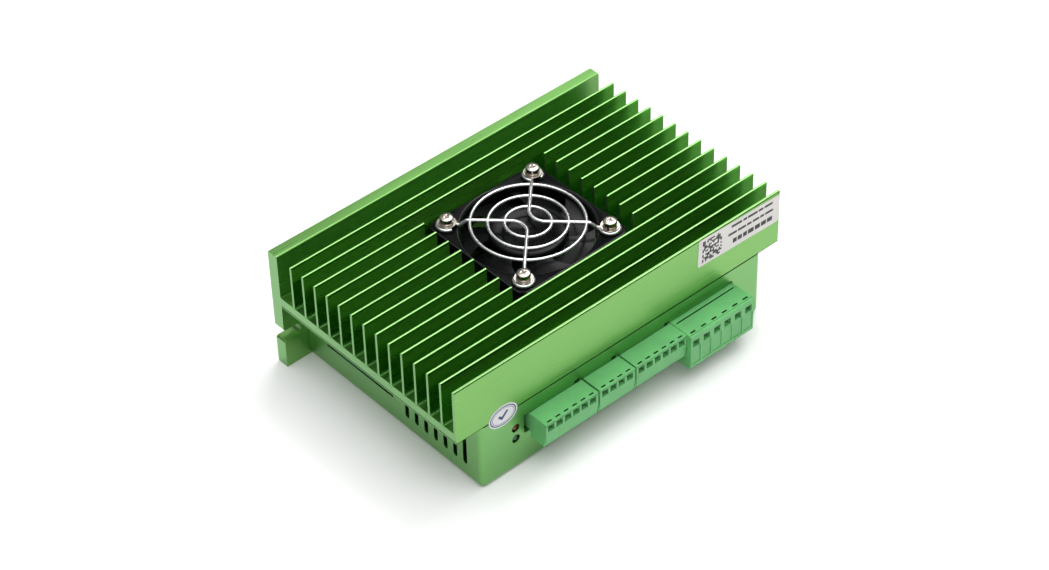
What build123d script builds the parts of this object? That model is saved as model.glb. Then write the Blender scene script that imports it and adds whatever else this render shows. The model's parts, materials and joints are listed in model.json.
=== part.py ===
from build123d import *
import os

os.makedirs("parts", exist_ok=True)

# =====================================================================
# Stepper driver module: a finned aluminium extrusion that carries the
# power board, a folded tray that closes it from below, a row of
# pluggable terminal blocks on one long side and a fan sunk in the fins.
# Millimetres, +Z up, the module standing on the tray's floor.
# All the numbers below are counted from the lower corner of the thick
# mounting wall: x across the fins, y along them, z up.  SHIFT moves
# that corner so the origin is under the middle of the whole object.
# =====================================================================

# ---- overall -----------------------------------------------------------
LENGTH = 150.0            # extrusion length
WIDTH = 97.5              # mounting face to terminal side
HEIGHT = 51.0             # floor to the fin tips
REACH = 108.0             # mounting face to the front of the power plug
SHIFT = (-REACH / 2, -LENGTH / 2)

# ---- heatsink extrusion ------------------------------------------------
WALL = 5.0                # thick mounting wall
BASE_Z0, BASE_Z1 = 28.2, 32.4
SIDE = 1.2                # thin wall on the terminal side
FIN_N, FIN_T, FIN_X0, FIN_PITCH = 13, 1.1, 12.5, 6.5
POCKET_Y0, POCKET_Y1 = 48.4, 104.3
FIN_LEFT, FIN_RIGHT = 1, 10           # fins that border the fan pocket
SLOT_W, SLOT_D, SLOT_Z = 5.0, 7.6, 14.3

# ---- tray ---------------------------------------------------------------
SHEET = 1.5
TRAY_X0, TRAY_Y0, TRAY_Y1, TRAY_Z1 = 5.05, 10.4, 141.5, 28.15
BEND_R = 2.0
CUT_Y0, CUT_Y1, CUT_Z0, CUT_Z1 = 29.5, 128.0, 13.95, 22.15
RELIEF_Y, RELIEF_Z1 = [(52.4, 54.7), (69.5, 71.5), (94.3, 96.6), (125.4, 127.3)], 23.1
CUT_DEEP_Y0, CUT_DEEP_Z0 = 96.9, 8.9
VENT_X0, VENT_PITCH, VENT_N, VENT_W = 58.7, 5.03, 7, 2.0
VENT_Z0, VENT_Z1 = 6.3, 21.0
WIN_X0, WIN_X1, WIN_Z0, WIN_Z1 = 15.4, 51.5, 10.65, 20.5

# ---- circuit board and its supports -------------------------------------
BOARD_Z0, BOARD_Z1 = 22.4, 24.0
BOARD = (6.0, 95.0, 13.0, 137.0)      # x0, x1, y0, y1
POSTS = [(24.0, 24.0), (24.0, 131.0), (88.0, 17.8), (88.0, 133.0)]
POST_AF = 5.5
STUD_R = 1.5
STUD_HOLE_R = 1.55

# ---- power transistors on the mounting wall ------------------------------
FET_Y = [29.5, 41.0, 56.0, 67.5, 82.5, 94.0, 109.0, 120.5]
CLAMP_SCREW_Y = [22.0, 48.5, 75.0, 101.5, 128.0]
CLAMP_Z = 14.0
PAD_T = 0.3

# ---- fan ----------------------------------------------------------------
FAN_X = (FIN_X0 + FIN_PITCH * FIN_LEFT + FIN_X0 + FIN_PITCH * FIN_RIGHT) / 2
FAN_Y = (POCKET_Y0 + POCKET_Y1) / 2
FAN_SIZE, FAN_T, FAN_HOLES = 50.0, 10.0, 40.0
FAN_Z1 = 46.6
FAN_Z0 = FAN_Z1 - FAN_T
BORE_R = 23.8
HUB_R = 14.0
BLADE_R = 23.2
BLADE_N = 7
SHAFT_R, SHAFT_BORE_R = 1.0, 1.03
BEARING_R = 2.5

# ---- wire guard ----------------------------------------------------------
RINGS = [20.2, 14.05, 8.2]
RING_WIRE_R, ARM_WIRE_R = 0.6, 0.7
RING_Z, ARM_Z = 49.3, 49.5
EYE_R, EYE_Z = 3.35, FAN_Z1 + 0.7
EYE_WIRE_R = 0.7

# ---- pluggable terminals ---------------------------------------------------
SMALL_PITCH, BIG_PITCH = 3.81, 5.08
SMALL_FRONT, SMALL_BACK = 106.0, 97.6
SMALL_Z0, SMALL_Z1 = 12.4, 21.8
BIG_FRONT, BIG_BACK = 108.0, 99.7
BIG_Z0, BIG_Z1 = 6.6, 21.8
FOOT_Z, FOOT_LEAN = 16.0, 0.8
PIN_Z = 17.8
PIN = 1.0
SIGNAL = (6, 43.70, 23.8)             # poles, middle y, width
ALARM = (4, 64.55, 16.3)
ENCODER = (6, 85.25, 23.7)
POWER = (6, 112.55, 30.5)

# ---- switches ---------------------------------------------------------------
DIP_X0, DIP_PITCH, DIP_N = 18.2, 2.54, 8
DIP_TRAVEL = 2.2


def at_z(z):
    """Level plane at height z; sketch axes are x and y."""
    return Plane(origin=(SHIFT[0], SHIFT[1], z), x_dir=(1, 0, 0), z_dir=(0, 0, 1))


def at_x(x):
    """Upright plane facing +X; sketch axes are y and z."""
    return Plane(origin=(SHIFT[0] + x, SHIFT[1], 0), x_dir=(0, 1, 0), z_dir=(1, 0, 0))


def at_y(y):
    """Upright plane facing -Y; sketch axes are x and z, so +Y is a negative extrude."""
    return Plane(origin=(SHIFT[0], SHIFT[1] + y, 0), x_dir=(1, 0, 0), z_dir=(0, -1, 0))


def rect(a0, a1, b0, b1, mode=Mode.ADD):
    """Rectangle between two corners, in the current sketch."""
    with Locations(((a0 + a1) / 2, (b0 + b1) / 2)):
        Rectangle(a1 - a0, b1 - b0, mode=mode)


def block(x0, x1, y0, y1, z0, z1, mode=Mode.ADD):
    """Box between two corners, in the current part."""
    with BuildSketch(at_z(z0)) as face:
        rect(x0, x1, y0, y1)
    extrude(face.sketch, amount=z1 - z0, mode=mode)


def rod(points, r, z0, z1, mode=Mode.ADD):
    """Upright round rods at the given points, in the current part."""
    with BuildSketch(at_z(z0)) as face:
        with Locations(*points):
            Circle(r)
    extrude(face.sketch, amount=z1 - z0, mode=mode)


def rod_x(points, r, x0, x1, mode=Mode.ADD):
    """Round rods along X at the given (y, z) points, in the current part."""
    with BuildSketch(at_x(x0)) as face:
        with Locations(*points):
            Circle(r)
    extrude(face.sketch, amount=x1 - x0, mode=mode)


def keep(builder, name):
    """Label a finished piece and write it."""
    builder.part.label = name
    export_step(builder.part, "parts/%s.step" % name)


FAN_CORNERS = [
    (FAN_X + sx * FAN_HOLES / 2, FAN_Y + sy * FAN_HOLES / 2)
    for sx in (-1, 1)
    for sy in (-1, 1)
]
POWER_LEAD = (FAN_X + 12.0, POCKET_Y1 - 1.6)     # where the fan's lead goes down

# =====================================================================
# Housing
# =====================================================================

with BuildPart() as heatsink:
    with BuildSketch(at_y(0)):
        rect(0, WALL, 0, HEIGHT)
        rect(WALL, WIDTH, BASE_Z0, BASE_Z1)
        rect(WIDTH - SIDE, WIDTH, BASE_Z0, HEIGHT)
        for i in range(FIN_N):
            x = FIN_X0 + FIN_PITCH * i
            rect(x - FIN_T / 2, x + FIN_T / 2, BASE_Z1, HEIGHT)
    extrude(amount=-LENGTH)
    # small chamfers along the top of the thick wall
    chamfer(
        heatsink.edges()
        .filter_by(Axis.Y)
        .filter_by_position(Axis.Z, HEIGHT - 0.01, HEIGHT + 0.01)
        .filter_by_position(Axis.X, SHIFT[0] - 0.01, SHIFT[0] + WALL + 0.01),
        0.4,
    )
    # pocket milled through eight fins for the fan
    block(
        FIN_X0 + FIN_PITCH * FIN_LEFT + FIN_T / 2,
        FIN_X0 + FIN_PITCH * FIN_RIGHT - FIN_T / 2,
        POCKET_Y0,
        POCKET_Y1,
        BASE_Z1,
        HEIGHT + 1,
        mode=Mode.SUBTRACT,
    )
    # open slots for the mounting screws, one in each end of the thick wall
    with BuildSketch(at_x(0)):
        for y0, y1, yc in ((-1, SLOT_D - SLOT_W / 2, SLOT_D - SLOT_W / 2),
                           (LENGTH - SLOT_D + SLOT_W / 2, LENGTH + 1, LENGTH - SLOT_D + SLOT_W / 2)):
            rect(y0, y1, SLOT_Z - SLOT_W / 2, SLOT_Z + SLOT_W / 2)
            with Locations((yc, SLOT_Z)):
                Circle(SLOT_W / 2)
    extrude(amount=WALL, mode=Mode.SUBTRACT)
    fillet(
        heatsink.edges()
        .filter_by(Axis.X)
        .filter_by_position(Axis.X, SHIFT[0], SHIFT[0] + WALL)
        .filter_by(lambda e: abs(abs(e.center().Y) - LENGTH / 2) < 0.01
                   and abs(abs(e.center().Z - SLOT_Z) - SLOT_W / 2) < 0.01),
        1.0,
    )
    # fan screw holes, fan lead hole, board post holes, clamp bar holes
    rod(FAN_CORNERS, STUD_HOLE_R, BASE_Z0 - 1, BASE_Z1, mode=Mode.SUBTRACT)
    rod([POWER_LEAD], 1.3, BASE_Z0 - 1, BASE_Z1, mode=Mode.SUBTRACT)
    rod(POSTS, STUD_HOLE_R, BASE_Z0 - 1, BASE_Z0 + 3.4, mode=Mode.SUBTRACT)
    rod_x([(y, CLAMP_Z) for y in CLAMP_SCREW_Y], STUD_HOLE_R, 1.6, WALL + 1, mode=Mode.SUBTRACT)
keep(heatsink, "heatsink")

with BuildPart() as bottom_cover:
    # the tray is a bent sheet: floor, two ends and the terminal side; its
    # fourth side is the heatsink's thick wall
    with BuildSketch(at_z(0)):
        rect(TRAY_X0, WIDTH, TRAY_Y0, TRAY_Y1)
    extrude(amount=TRAY_Z1)
    fillet(
        bottom_cover.edges().filter_by(Axis.Z).filter_by_position(Axis.X, SHIFT[0] + WIDTH - 0.1, SHIFT[0] + WIDTH + 0.1),
        BEND_R,
    )
    fillet(
        bottom_cover.edges()
        .filter_by_position(Axis.Z, -0.01, 0.01)
        .filter_by(lambda e: e.center().X > SHIFT[0] + TRAY_X0 + 0.1),
        BEND_R,
    )
    top_face = bottom_cover.faces().sort_by(Axis.Z)[-1]
    open_side = bottom_cover.faces().filter_by(Axis.X).sort_by(Axis.X)[0]
    offset(amount=-SHEET, openings=[top_face, open_side])
    # terminal cut-out in the side, deeper where the power connector sits
    with BuildSketch(at_x(WIDTH - SHEET - 1)):
        rect(CUT_Y0, CUT_Y1, CUT_Z0, CUT_Z1)
        rect(CUT_DEEP_Y0, CUT_Y1, CUT_DEEP_Z0, CUT_Z1)
        for y0, y1 in RELIEF_Y:
            rect(y0, y1, CUT_Z1 - 1, RELIEF_Z1)
    extrude(amount=SHEET + 2, mode=Mode.SUBTRACT)
    # shadow gap along the joint with the heatsink, followed round the two bends
    with BuildSketch(at_z(TRAY_Z1 - 0.3)) as rim:
        rect(TRAY_X0 - 1, WIDTH + 1, TRAY_Y0 - 1, TRAY_Y1 + 1)
        rect(TRAY_X0 - 2, WIDTH - 0.5, TRAY_Y0 + 0.5, TRAY_Y1 - 0.5, mode=Mode.SUBTRACT)
        inner = rim.vertices().filter_by(
            lambda v: abs(v.X - (WIDTH - 0.5)) < 0.01 or abs(v.X - (SHIFT[0] + WIDTH - 0.5)) < 0.01
        )
        fillet(inner, BEND_R - 0.5)
    extrude(amount=1.0, mode=Mode.SUBTRACT)
    # two lamp holes
    rod_x([(25.8, 18.6), (25.8, 13.7)], 1.7, WIDTH - SHEET - 1, WIDTH + 1, mode=Mode.SUBTRACT)
    # switch window in the near end
    with BuildSketch(at_y(TRAY_Y0 - 1)):
        rect(WIN_X0, WIN_X1, WIN_Z0, WIN_Z1)
    extrude(amount=-(SHEET + 2), mode=Mode.SUBTRACT)
    # vent slots in both ends
    for y in (TRAY_Y0 - 1, TRAY_Y1 - SHEET - 1):
        with BuildSketch(at_y(y)):
            for i in range(VENT_N):
                with Locations((VENT_X0 + VENT_PITCH * i, (VENT_Z0 + VENT_Z1) / 2)):
                    SlotOverall(VENT_Z1 - VENT_Z0, VENT_W, rotation=90)
        extrude(amount=-(SHEET + 2), mode=Mode.SUBTRACT)
    # countersunk screw holes in the floor
    for x, y in POSTS:
        with BuildSketch(Plane.XZ.offset(-(SHIFT[1] + y))):
            with BuildLine():
                Polyline(
                    (SHIFT[0] + x, -0.1), (SHIFT[0] + x + 3.1, -0.1), (SHIFT[0] + x + 3.1, 0.1),
                    (SHIFT[0] + x + 1.65, SHEET), (SHIFT[0] + x + 1.65, SHEET + 0.1), (SHIFT[0] + x, SHEET + 0.1),
                    close=True,
                )
            make_face()
        revolve(axis=Axis((SHIFT[0] + x, SHIFT[1] + y, 0), (0, 0, 1)), mode=Mode.SUBTRACT)
keep(bottom_cover, "bottom_cover")

with BuildPart() as cover_screws:
    # M3 countersunk screws, cross recess
    for x, y in POSTS:
        with BuildSketch(Plane.XZ.offset(-(SHIFT[1] + y))):
            with BuildLine():
                Polyline(
                    (SHIFT[0] + x, 0.1), (SHIFT[0] + x + 2.8, 0.1), (SHIFT[0] + x + 1.45, 1.5),
                    (SHIFT[0] + x + 1.45, 7.6), (SHIFT[0] + x, 7.6),
                    close=True,
                )
            make_face()
        revolve(axis=Axis((SHIFT[0] + x, SHIFT[1] + y, 0), (0, 0, 1)))
    for x, y in POSTS:
        block(x - 0.4, x + 0.4, y - 1.5, y + 1.5, 0, 1.2, mode=Mode.SUBTRACT)
        block(x - 1.5, x + 1.5, y - 0.4, y + 0.4, 0, 1.2, mode=Mode.SUBTRACT)
keep(cover_screws, "cover_screws")

with BuildPart() as lower_standoffs:
    with BuildSketch(at_z(SHEET)):
        with Locations(*POSTS):
            RegularPolygon(POST_AF / 2, 6, major_radius=False)
    extrude(amount=BOARD_Z0 - SHEET)
    rod(POSTS, STUD_R, BOARD_Z0, BOARD_Z1 + 2.6)
    rod(POSTS, STUD_R, SHEET, SHEET + 7.0, mode=Mode.SUBTRACT)
keep(lower_standoffs, "lower_standoffs")

with BuildPart() as upper_standoffs:
    with BuildSketch(at_z(BOARD_Z1)):
        with Locations(*POSTS):
            RegularPolygon(POST_AF / 2, 6, major_radius=False)
    extrude(amount=BASE_Z0 - BOARD_Z1)
    rod(POSTS, STUD_R, BASE_Z0, BASE_Z0 + 3.2)
    rod(POSTS, STUD_HOLE_R, BOARD_Z1, BOARD_Z1 + 3.0, mode=Mode.SUBTRACT)
keep(upper_standoffs, "upper_standoffs")

# =====================================================================
# Circuit board and what it carries (components hang below it)
# =====================================================================


def pole_ys(spec, pitch):
    n, yc, _ = spec
    return [yc + pitch * (i - (n - 1) / 2) for i in range(n)]


SMALL_POLES = pole_ys(SIGNAL, SMALL_PITCH) + pole_ys(ALARM, SMALL_PITCH) + pole_ys(ENCODER, SMALL_PITCH)
BIG_POLES = pole_ys(POWER, BIG_PITCH)
SMALL_LEG_X, BIG_LEG_X = 87.1, 83.4
FET_LEG_X = 7.7

with BuildPart() as circuit_board:
    block(BOARD[0], BOARD[1], BOARD[2], BOARD[3], BOARD_Z0, BOARD_Z1)
    rod(POSTS, 1.6, BOARD_Z0, BOARD_Z1, mode=Mode.SUBTRACT)
    rod([POWER_LEAD], 2.2, BOARD_Z0, BOARD_Z1, mode=Mode.SUBTRACT)
    rod([(SMALL_LEG_X, y) for y in SMALL_POLES] + [(BIG_LEG_X, y) for y in BIG_POLES], 0.8, BOARD_Z0, BOARD_Z1, mode=Mode.SUBTRACT)
    rod([(FET_LEG_X, y + d) for y in FET_Y for d in (-2.54, 0, 2.54)], 0.6, BOARD_Z0, BOARD_Z1, mode=Mode.SUBTRACT)
keep(circuit_board, "circuit_board")

with BuildPart() as mosfets:
    for y in FET_Y:
        block(WALL + PAD_T, WALL + PAD_T + 4.5, y - 4.95, y + 4.95, 10.0, 19.2)      # moulded body
        block(WALL + PAD_T, WALL + PAD_T + 1.3, y - 4.95, y + 4.95, 3.8, 10.0)       # metal tab
        for d in (-2.54, 0, 2.54):
            block(FET_LEG_X - 0.25, FET_LEG_X + 0.25, y + d - 0.4, y + d + 0.4, 19.2, 24.6)
    rod_x([(y, 6.9) for y in FET_Y], 1.8, WALL + PAD_T, WALL + PAD_T + 1.3, mode=Mode.SUBTRACT)
keep(mosfets, "mosfets")

with BuildPart() as mosfet_pads:
    for y in FET_Y:
        block(WALL, WALL + PAD_T, y - 5.4, y + 5.4, 3.2, 19.8)
keep(mosfet_pads, "mosfet_pads")

with BuildPart() as clamp_bar:
    block(WALL + PAD_T + 4.5, WALL + PAD_T + 7.5, 17.0, 133.0, CLAMP_Z - 3.5, CLAMP_Z + 3.5)
    chamfer(clamp_bar.edges().filter_by(Axis.Y).group_by(Axis.X)[-1], 0.5)
    rod_x([(y, CLAMP_Z) for y in CLAMP_SCREW_Y], 1.65, WALL, WALL + 9, mode=Mode.SUBTRACT)
keep(clamp_bar, "clamp_bar")

with BuildPart() as clamp_bar_screws:
    xs = WALL + PAD_T + 7.5
    rod_x([(y, CLAMP_Z) for y in CLAMP_SCREW_Y], STUD_R, 1.8, xs)
    rod_x([(y, CLAMP_Z) for y in CLAMP_SCREW_Y], 2.75, xs, xs + 2.2)
    chamfer(clamp_bar_screws.edges().filter_by(GeomType.CIRCLE).group_by(Axis.X)[-1], 0.4)
    for y in CLAMP_SCREW_Y:
        block(xs + 1.0, xs + 3, y - 0.4, y + 0.4, CLAMP_Z - 1.6, CLAMP_Z + 1.6, mode=Mode.SUBTRACT)
        block(xs + 1.0, xs + 3, y - 1.6, y + 1.6, CLAMP_Z - 0.4, CLAMP_Z + 0.4, mode=Mode.SUBTRACT)
keep(clamp_bar_screws, "clamp_bar_screws")

CAPS = [(34.0, 44.0), (34.0, 63.0)]
with BuildPart() as capacitors:
    rod(CAPS, 8.0, 2.6, BOARD_Z0)
    fillet(capacitors.edges().filter_by(GeomType.CIRCLE).group_by(Axis.Z)[0], 0.8)
keep(capacitors, "capacitors")

with BuildPart() as bridge_rectifier:
    block(48.0, 70.0, 121.0, 124.6, 4.6, 20.0)
    chamfer(bridge_rectifier.edges().filter_by(Axis.Y).group_by(Axis.X)[-1].sort_by(Axis.Z)[0], 2.5)
    for x in (51.4, 56.5, 61.5, 66.6):
        block(x - 0.5, x + 0.5, 122.5, 123.1, 20.0, BOARD_Z0)
keep(bridge_rectifier, "bridge_rectifier")

with BuildPart() as inductor:
    block(54.0, 66.0, 84.0, 96.0, 15.4, BOARD_Z0)
    fillet(inductor.edges().filter_by(Axis.Z), 2.0)
    chamfer(inductor.faces().sort_by(Axis.Z)[0].edges(), 0.8)
keep(inductor, "inductor")

with BuildPart() as board_chips:
    block(56.0, 66.0, 52.0, 62.0, 21.0, BOARD_Z0)                 # motor controller
    for y in (36.0, 50.0, 86.0, 100.0):
        block(17.0, 24.4, y - 5.1, y + 5.1, 20.1, BOARD_Z0)       # gate drivers
    block(70.0, 74.0, 96.0, 101.0, 20.7, BOARD_Z0)                # supply controller
    block(70.0, 76.0, 70.0, 75.0, 20.7, BOARD_Z0)                 # encoder line receiver
keep(board_chips, "board_chips")

with BuildPart() as optocouplers:
    for y in (36.0, 43.0, 50.0, 57.0, 64.0):
        block(75.5, 82.0, y - 2.4, y + 2.4, 18.9, BOARD_Z0)
    chamfer(optocouplers.edges().filter_by(Axis.Y).group_by(Axis.Z)[0], 0.4)
keep(optocouplers, "optocouplers")

with BuildPart() as shunt_resistors:
    for y in (84.0, 98.0, 110.0):
        block(30.0, 36.4, y - 1.6, y + 1.6, 21.5, BOARD_Z0)
keep(shunt_resistors, "shunt_resistors")

with BuildPart() as fan_header:
    block(64.0, 71.5, 106.0, 111.8, 16.6, BOARD_Z0)
    block(65.0, 70.5, 107.0, 110.8, 15.6, 21.0, mode=Mode.SUBTRACT)
    block(65.4, 66.04, 108.6, 109.24, 17.2, 21.0)
    block(69.46, 70.1, 108.6, 109.24, 17.2, 21.0)
keep(fan_header, "fan_header")

# ---- lamps --------------------------------------------------------------
LAMP_Y, LAMP_HI, LAMP_LO = 25.8, 18.6, 13.7
with BuildPart() as led_holder:
    block(90.0, 95.4, LAMP_Y - 3.0, LAMP_Y + 3.0, 11.4, BOARD_Z0)
    rod_x([(LAMP_Y, LAMP_HI), (LAMP_Y, LAMP_LO)], 1.55, 89, 96, mode=Mode.SUBTRACT)
    chamfer(led_holder.edges().filter_by(Axis.Z).group_by(Axis.X)[-1], 0.4)
keep(led_holder, "led_holder")


def lamp(z, leg_x):
    """3 mm lamp lying along X with its two legs bent up to the board."""
    with BuildSketch(Plane.XZ.offset(-(SHIFT[1] + LAMP_Y))) as face:
        with BuildLine():
            x = SHIFT[0]
            l1 = Polyline((x + 89.0, z), (x + 89.0, z + 1.9), (x + 90.0, z + 1.9), (x + 90.0, z + 1.5), (x + 95.8, z + 1.5))
            l2 = RadiusArc(l1 @ 1, (x + 97.3, z), 1.5)
            Line(l2 @ 1, l1 @ 0)
        make_face()
    revolve(face.sketch, axis=Axis((SHIFT[0], SHIFT[1] + LAMP_Y, z), (1, 0, 0)))
    for d in (-1.27, 1.27):
        block(leg_x, 89.0, LAMP_Y + d - 0.25, LAMP_Y + d + 0.25, z - 0.25, z + 0.25)
        block(leg_x, leg_x + 0.5, LAMP_Y + d - 0.25, LAMP_Y + d + 0.25, z - 0.25, BOARD_Z0)


with BuildPart() as alarm_led:
    lamp(LAMP_HI, 88.2)
keep(alarm_led, "alarm_led")

with BuildPart() as power_led:
    lamp(LAMP_LO, 86.6)
keep(power_led, "power_led")

# ---- board headers ---------------------------------------------------------
SH_X0, SH_X1, SH_Z0 = 88.2, 97.3, 14.2      # small header shell
SH_WALL = 1.3
BH_X0, BH_X1, BH_Z0, BH_Z1 = 84.4, 99.15, 9.4, 21.8


def small_header(spec):
    n, yc, w = spec
    ys = pole_ys(spec, SMALL_PITCH)
    block(SH_X0, 93.6, yc - w / 2, yc + w / 2, SH_Z0, BOARD_Z0)
    block(93.6, SH_X1, yc - w / 2, yc + w / 2, SH_Z0, 21.95)
    block(SH_X0 + 1.4, SH_X1 + 1, yc - w / 2 + 0.8, yc + w / 2 - 0.8, SH_Z0 + 0.9, 21.3, mode=Mode.SUBTRACT)
    with BuildSketch(at_x(SH_X0)) as face:
        for y in ys:
            rect(y - PIN / 2, y + PIN / 2, PIN_Z - PIN / 2, PIN_Z + PIN / 2)
    extrude(face.sketch, amount=1.4, mode=Mode.SUBTRACT)
    # latch window in the top wall, behind the relief notch of the cover
    block(94.0, SH_X1 + 1, yc + w / 2 - 3.3, yc + w / 2 - 0.9, 20.9, 23.0, mode=Mode.SUBTRACT)
    # keying notches in the free wall of the shell
    for y in ys[::2]:
        block(SH_X1 - 4.5, SH_X1 + 1, y - 0.6, y + 0.6, SH_Z0 - 1, SH_Z0 + 1.2, mode=Mode.SUBTRACT)


with BuildPart() as header_signal:
    small_header(SIGNAL)
keep(header_signal, "header_signal")

with BuildPart() as header_alarm:
    small_header(ALARM)
keep(header_alarm, "header_alarm")

with BuildPart() as header_encoder:
    small_header(ENCODER)
keep(header_encoder, "header_encoder")

with BuildPart() as header_power:
    n, yc, w = POWER
    block(BH_X0, BH_X1, yc - w / 2 + 0.1, yc + w / 2 - 0.1, BH_Z0, BH_Z1)
    block(BH_X0, 94.0, yc - w / 2 + 0.1, yc + w / 2 - 0.1, BH_Z1, BOARD_Z0)
    for side in (-1, 1):                                         # end stops for the plug
        ym = yc + side * (w / 2 - 0.75)
        block(BH_X1 - 0.5, BIG_BACK - 0.1, ym - 0.6, ym + 0.6, BH_Z0, BH_Z1)
    block(BH_X0 + 1.8, BH_X1 + 1, yc - w / 2 + 1.2, yc + w / 2 - 1.2, BH_Z0 + 1.3, 20.5, mode=Mode.SUBTRACT)
    with BuildSketch(at_x(BH_X0)):
        for y in BIG_POLES:
            rect(y - PIN / 2, y + PIN / 2, PIN_Z - 2.3 - PIN / 2, PIN_Z - 2.3 + PIN / 2)
    extrude(amount=1.8, mode=Mode.SUBTRACT)
keep(header_power, "header_power")

BIG_PIN_Z = PIN_Z - 2.3
with BuildPart() as header_pins:
    for y in SMALL_POLES:
        block(SMALL_LEG_X - PIN / 2, 96.2, y - PIN / 2, y + PIN / 2, PIN_Z - PIN / 2, PIN_Z + PIN / 2)
        block(SMALL_LEG_X - PIN / 2, SMALL_LEG_X + PIN / 2, y - PIN / 2, y + PIN / 2, PIN_Z - PIN / 2, 25.0)
    for y in BIG_POLES:
        block(BIG_LEG_X - PIN / 2, 96.8, y - PIN / 2, y + PIN / 2, BIG_PIN_Z - PIN / 2, BIG_PIN_Z + PIN / 2)
        block(BIG_LEG_X - PIN / 2, BIG_LEG_X + PIN / 2, y - PIN / 2, y + PIN / 2, BIG_PIN_Z - PIN / 2, 25.0)
keep(header_pins, "header_pins")

# =====================================================================
# Pluggable terminal blocks.  Wires go in at the front, clamp screws are
# turned from below, and each plug pulls straight off along +X.
# =====================================================================


def small_plug(spec):
    n, yc, w = spec
    ys = pole_ys(spec, SMALL_PITCH)
    y0, y1 = yc - w / 2, yc + w / 2
    # side outline: small chamfer along the top front, sloped foot at the back
    with BuildSketch(at_y(y0)) as face:
        with BuildLine():
            Polyline(
                (SMALL_BACK, 13.6), (SMALL_BACK + 1.2, SMALL_Z0), (SMALL_FRONT - 0.3, SMALL_Z0),
                (SMALL_FRONT, SMALL_Z0 + 0.3), (SMALL_FRONT, SMALL_Z1 - 0.15), (SMALL_FRONT - 0.15, SMALL_Z1),
                (SMALL_BACK, SMALL_Z1), close=True,
            )
        make_face()
    extrude(face.sketch, amount=-w)
    # nesting feet: the lower half leans towards -Y, so that plugs stand side by side
    with BuildSketch(at_x(SMALL_BACK + 1.2)) as face:
        with BuildLine():
            Polyline((y0 + 0.2, FOOT_Z), (y0, FOOT_Z), (y0 - FOOT_LEAN, SMALL_Z0 + 0.3), (y0 - FOOT_LEAN, SMALL_Z0), (y0 + 0.2, SMALL_Z0), close=True)
        make_face()
    extrude(face.sketch, amount=SMALL_FRONT - 0.3 - SMALL_BACK - 1.2)
    with BuildSketch(at_x(SMALL_BACK - 1)) as face:
        with BuildLine():
            Polyline((y1 + 1, FOOT_Z), (y1, FOOT_Z), (y1 - FOOT_LEAN, SMALL_Z0 + 0.3), (y1 - FOOT_LEAN, SMALL_Z0 - 1), (y1 + 1, SMALL_Z0 - 1), close=True)
        make_face()
    extrude(face.sketch, amount=SMALL_FRONT - SMALL_BACK + 2, mode=Mode.SUBTRACT)
    block(SH_X0 + 1.9, SMALL_BACK, y0 + 1.0, y1 - 1.0, SH_Z0 + 1.25, 21.1)            # tongue
    block(SH_X0, SMALL_BACK, y1 - 3.5, y1, 19.5, 21.5, mode=Mode.SUBTRACT)            # keying groove
    block(SMALL_FRONT - 0.3, SMALL_FRONT + 1, y0 - 1, y1 + 1, 20.95, 21.2, mode=Mode.SUBTRACT)   # line below the lip
    for y in ys:
        block(SMALL_FRONT - 1.9, SMALL_FRONT + 1, y - 1.45, y + 1.45, 17.95, 20.65, mode=Mode.SUBTRACT)   # wire hole
        block(99.3, SMALL_FRONT - 1.8, y - 1.6, y + 1.6, 14.5, 20.75, mode=Mode.SUBTRACT)                 # clamp chamber
        block(SH_X0 + 1, 99.4, y - 1.0, y + 1.0, PIN_Z - 0.9, PIN_Z + 0.9, mode=Mode.SUBTRACT)            # contact channel
        block(SMALL_FRONT - 1.35, SMALL_FRONT - 0.7, y - 1.0, y + 1.0, SMALL_Z1 - 0.7, SMALL_Z1 + 1, mode=Mode.SUBTRACT)
    rod([(101.7, y) for y in ys], 1.35, SMALL_Z0 - 1, 14.6, mode=Mode.SUBTRACT)


def small_screws(spec):
    ys = pole_ys(spec, SMALL_PITCH)
    pts = [(101.7, y) for y in ys]
    rod(pts, 1.3, 12.8, 14.3)
    rod(pts, 0.95, 14.3, 18.0)
    for y in ys:
        block(101.7 - 1.5, 101.7 + 1.5, y - 0.2, y + 0.2, 12.7, 13.5, mode=Mode.SUBTRACT)


def small_clamps(spec):
    for y in pole_ys(spec, SMALL_PITCH):
        block(99.5, SMALL_FRONT - 1.9, y - 1.55, y + 1.55, 14.6, 20.7)
        block(99.9, SMALL_FRONT, y - 1.15, y + 1.15, 16.4, 20.4, mode=Mode.SUBTRACT)
    for y in pole_ys(spec, SMALL_PITCH):
        block(SH_X0 + 2.3, 99.5, y - 0.9, y + 0.9, PIN_Z - 0.8, PIN_Z + 0.8)
        block(SH_X0 + 1, 97.5, y - 0.55, y + 0.55, PIN_Z - 0.55, PIN_Z + 0.55, mode=Mode.SUBTRACT)
    rod([(101.7, y) for y in pole_ys(spec, SMALL_PITCH)], 1.0, 14, 16.5, mode=Mode.SUBTRACT)


with BuildPart() as plug_signal:
    small_plug(SIGNAL)
keep(plug_signal, "plug_signal")

with BuildPart() as plug_alarm:
    small_plug(ALARM)
keep(plug_alarm, "plug_alarm")

with BuildPart() as plug_encoder:
    small_plug(ENCODER)
keep(plug_encoder, "plug_encoder")

with BuildPart() as plug_signal_screws:
    small_screws(SIGNAL)
keep(plug_signal_screws, "plug_signal_screws")

with BuildPart() as plug_alarm_screws:
    small_screws(ALARM)
keep(plug_alarm_screws, "plug_alarm_screws")

with BuildPart() as plug_encoder_screws:
    small_screws(ENCODER)
keep(plug_encoder_screws, "plug_encoder_screws")

with BuildPart() as plug_signal_clamps:
    small_clamps(SIGNAL)
keep(plug_signal_clamps, "plug_signal_clamps")

with BuildPart() as plug_alarm_clamps:
    small_clamps(ALARM)
keep(plug_alarm_clamps, "plug_alarm_clamps")

with BuildPart() as plug_encoder_clamps:
    small_clamps(ENCODER)
keep(plug_encoder_clamps, "plug_encoder_clamps")

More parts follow.
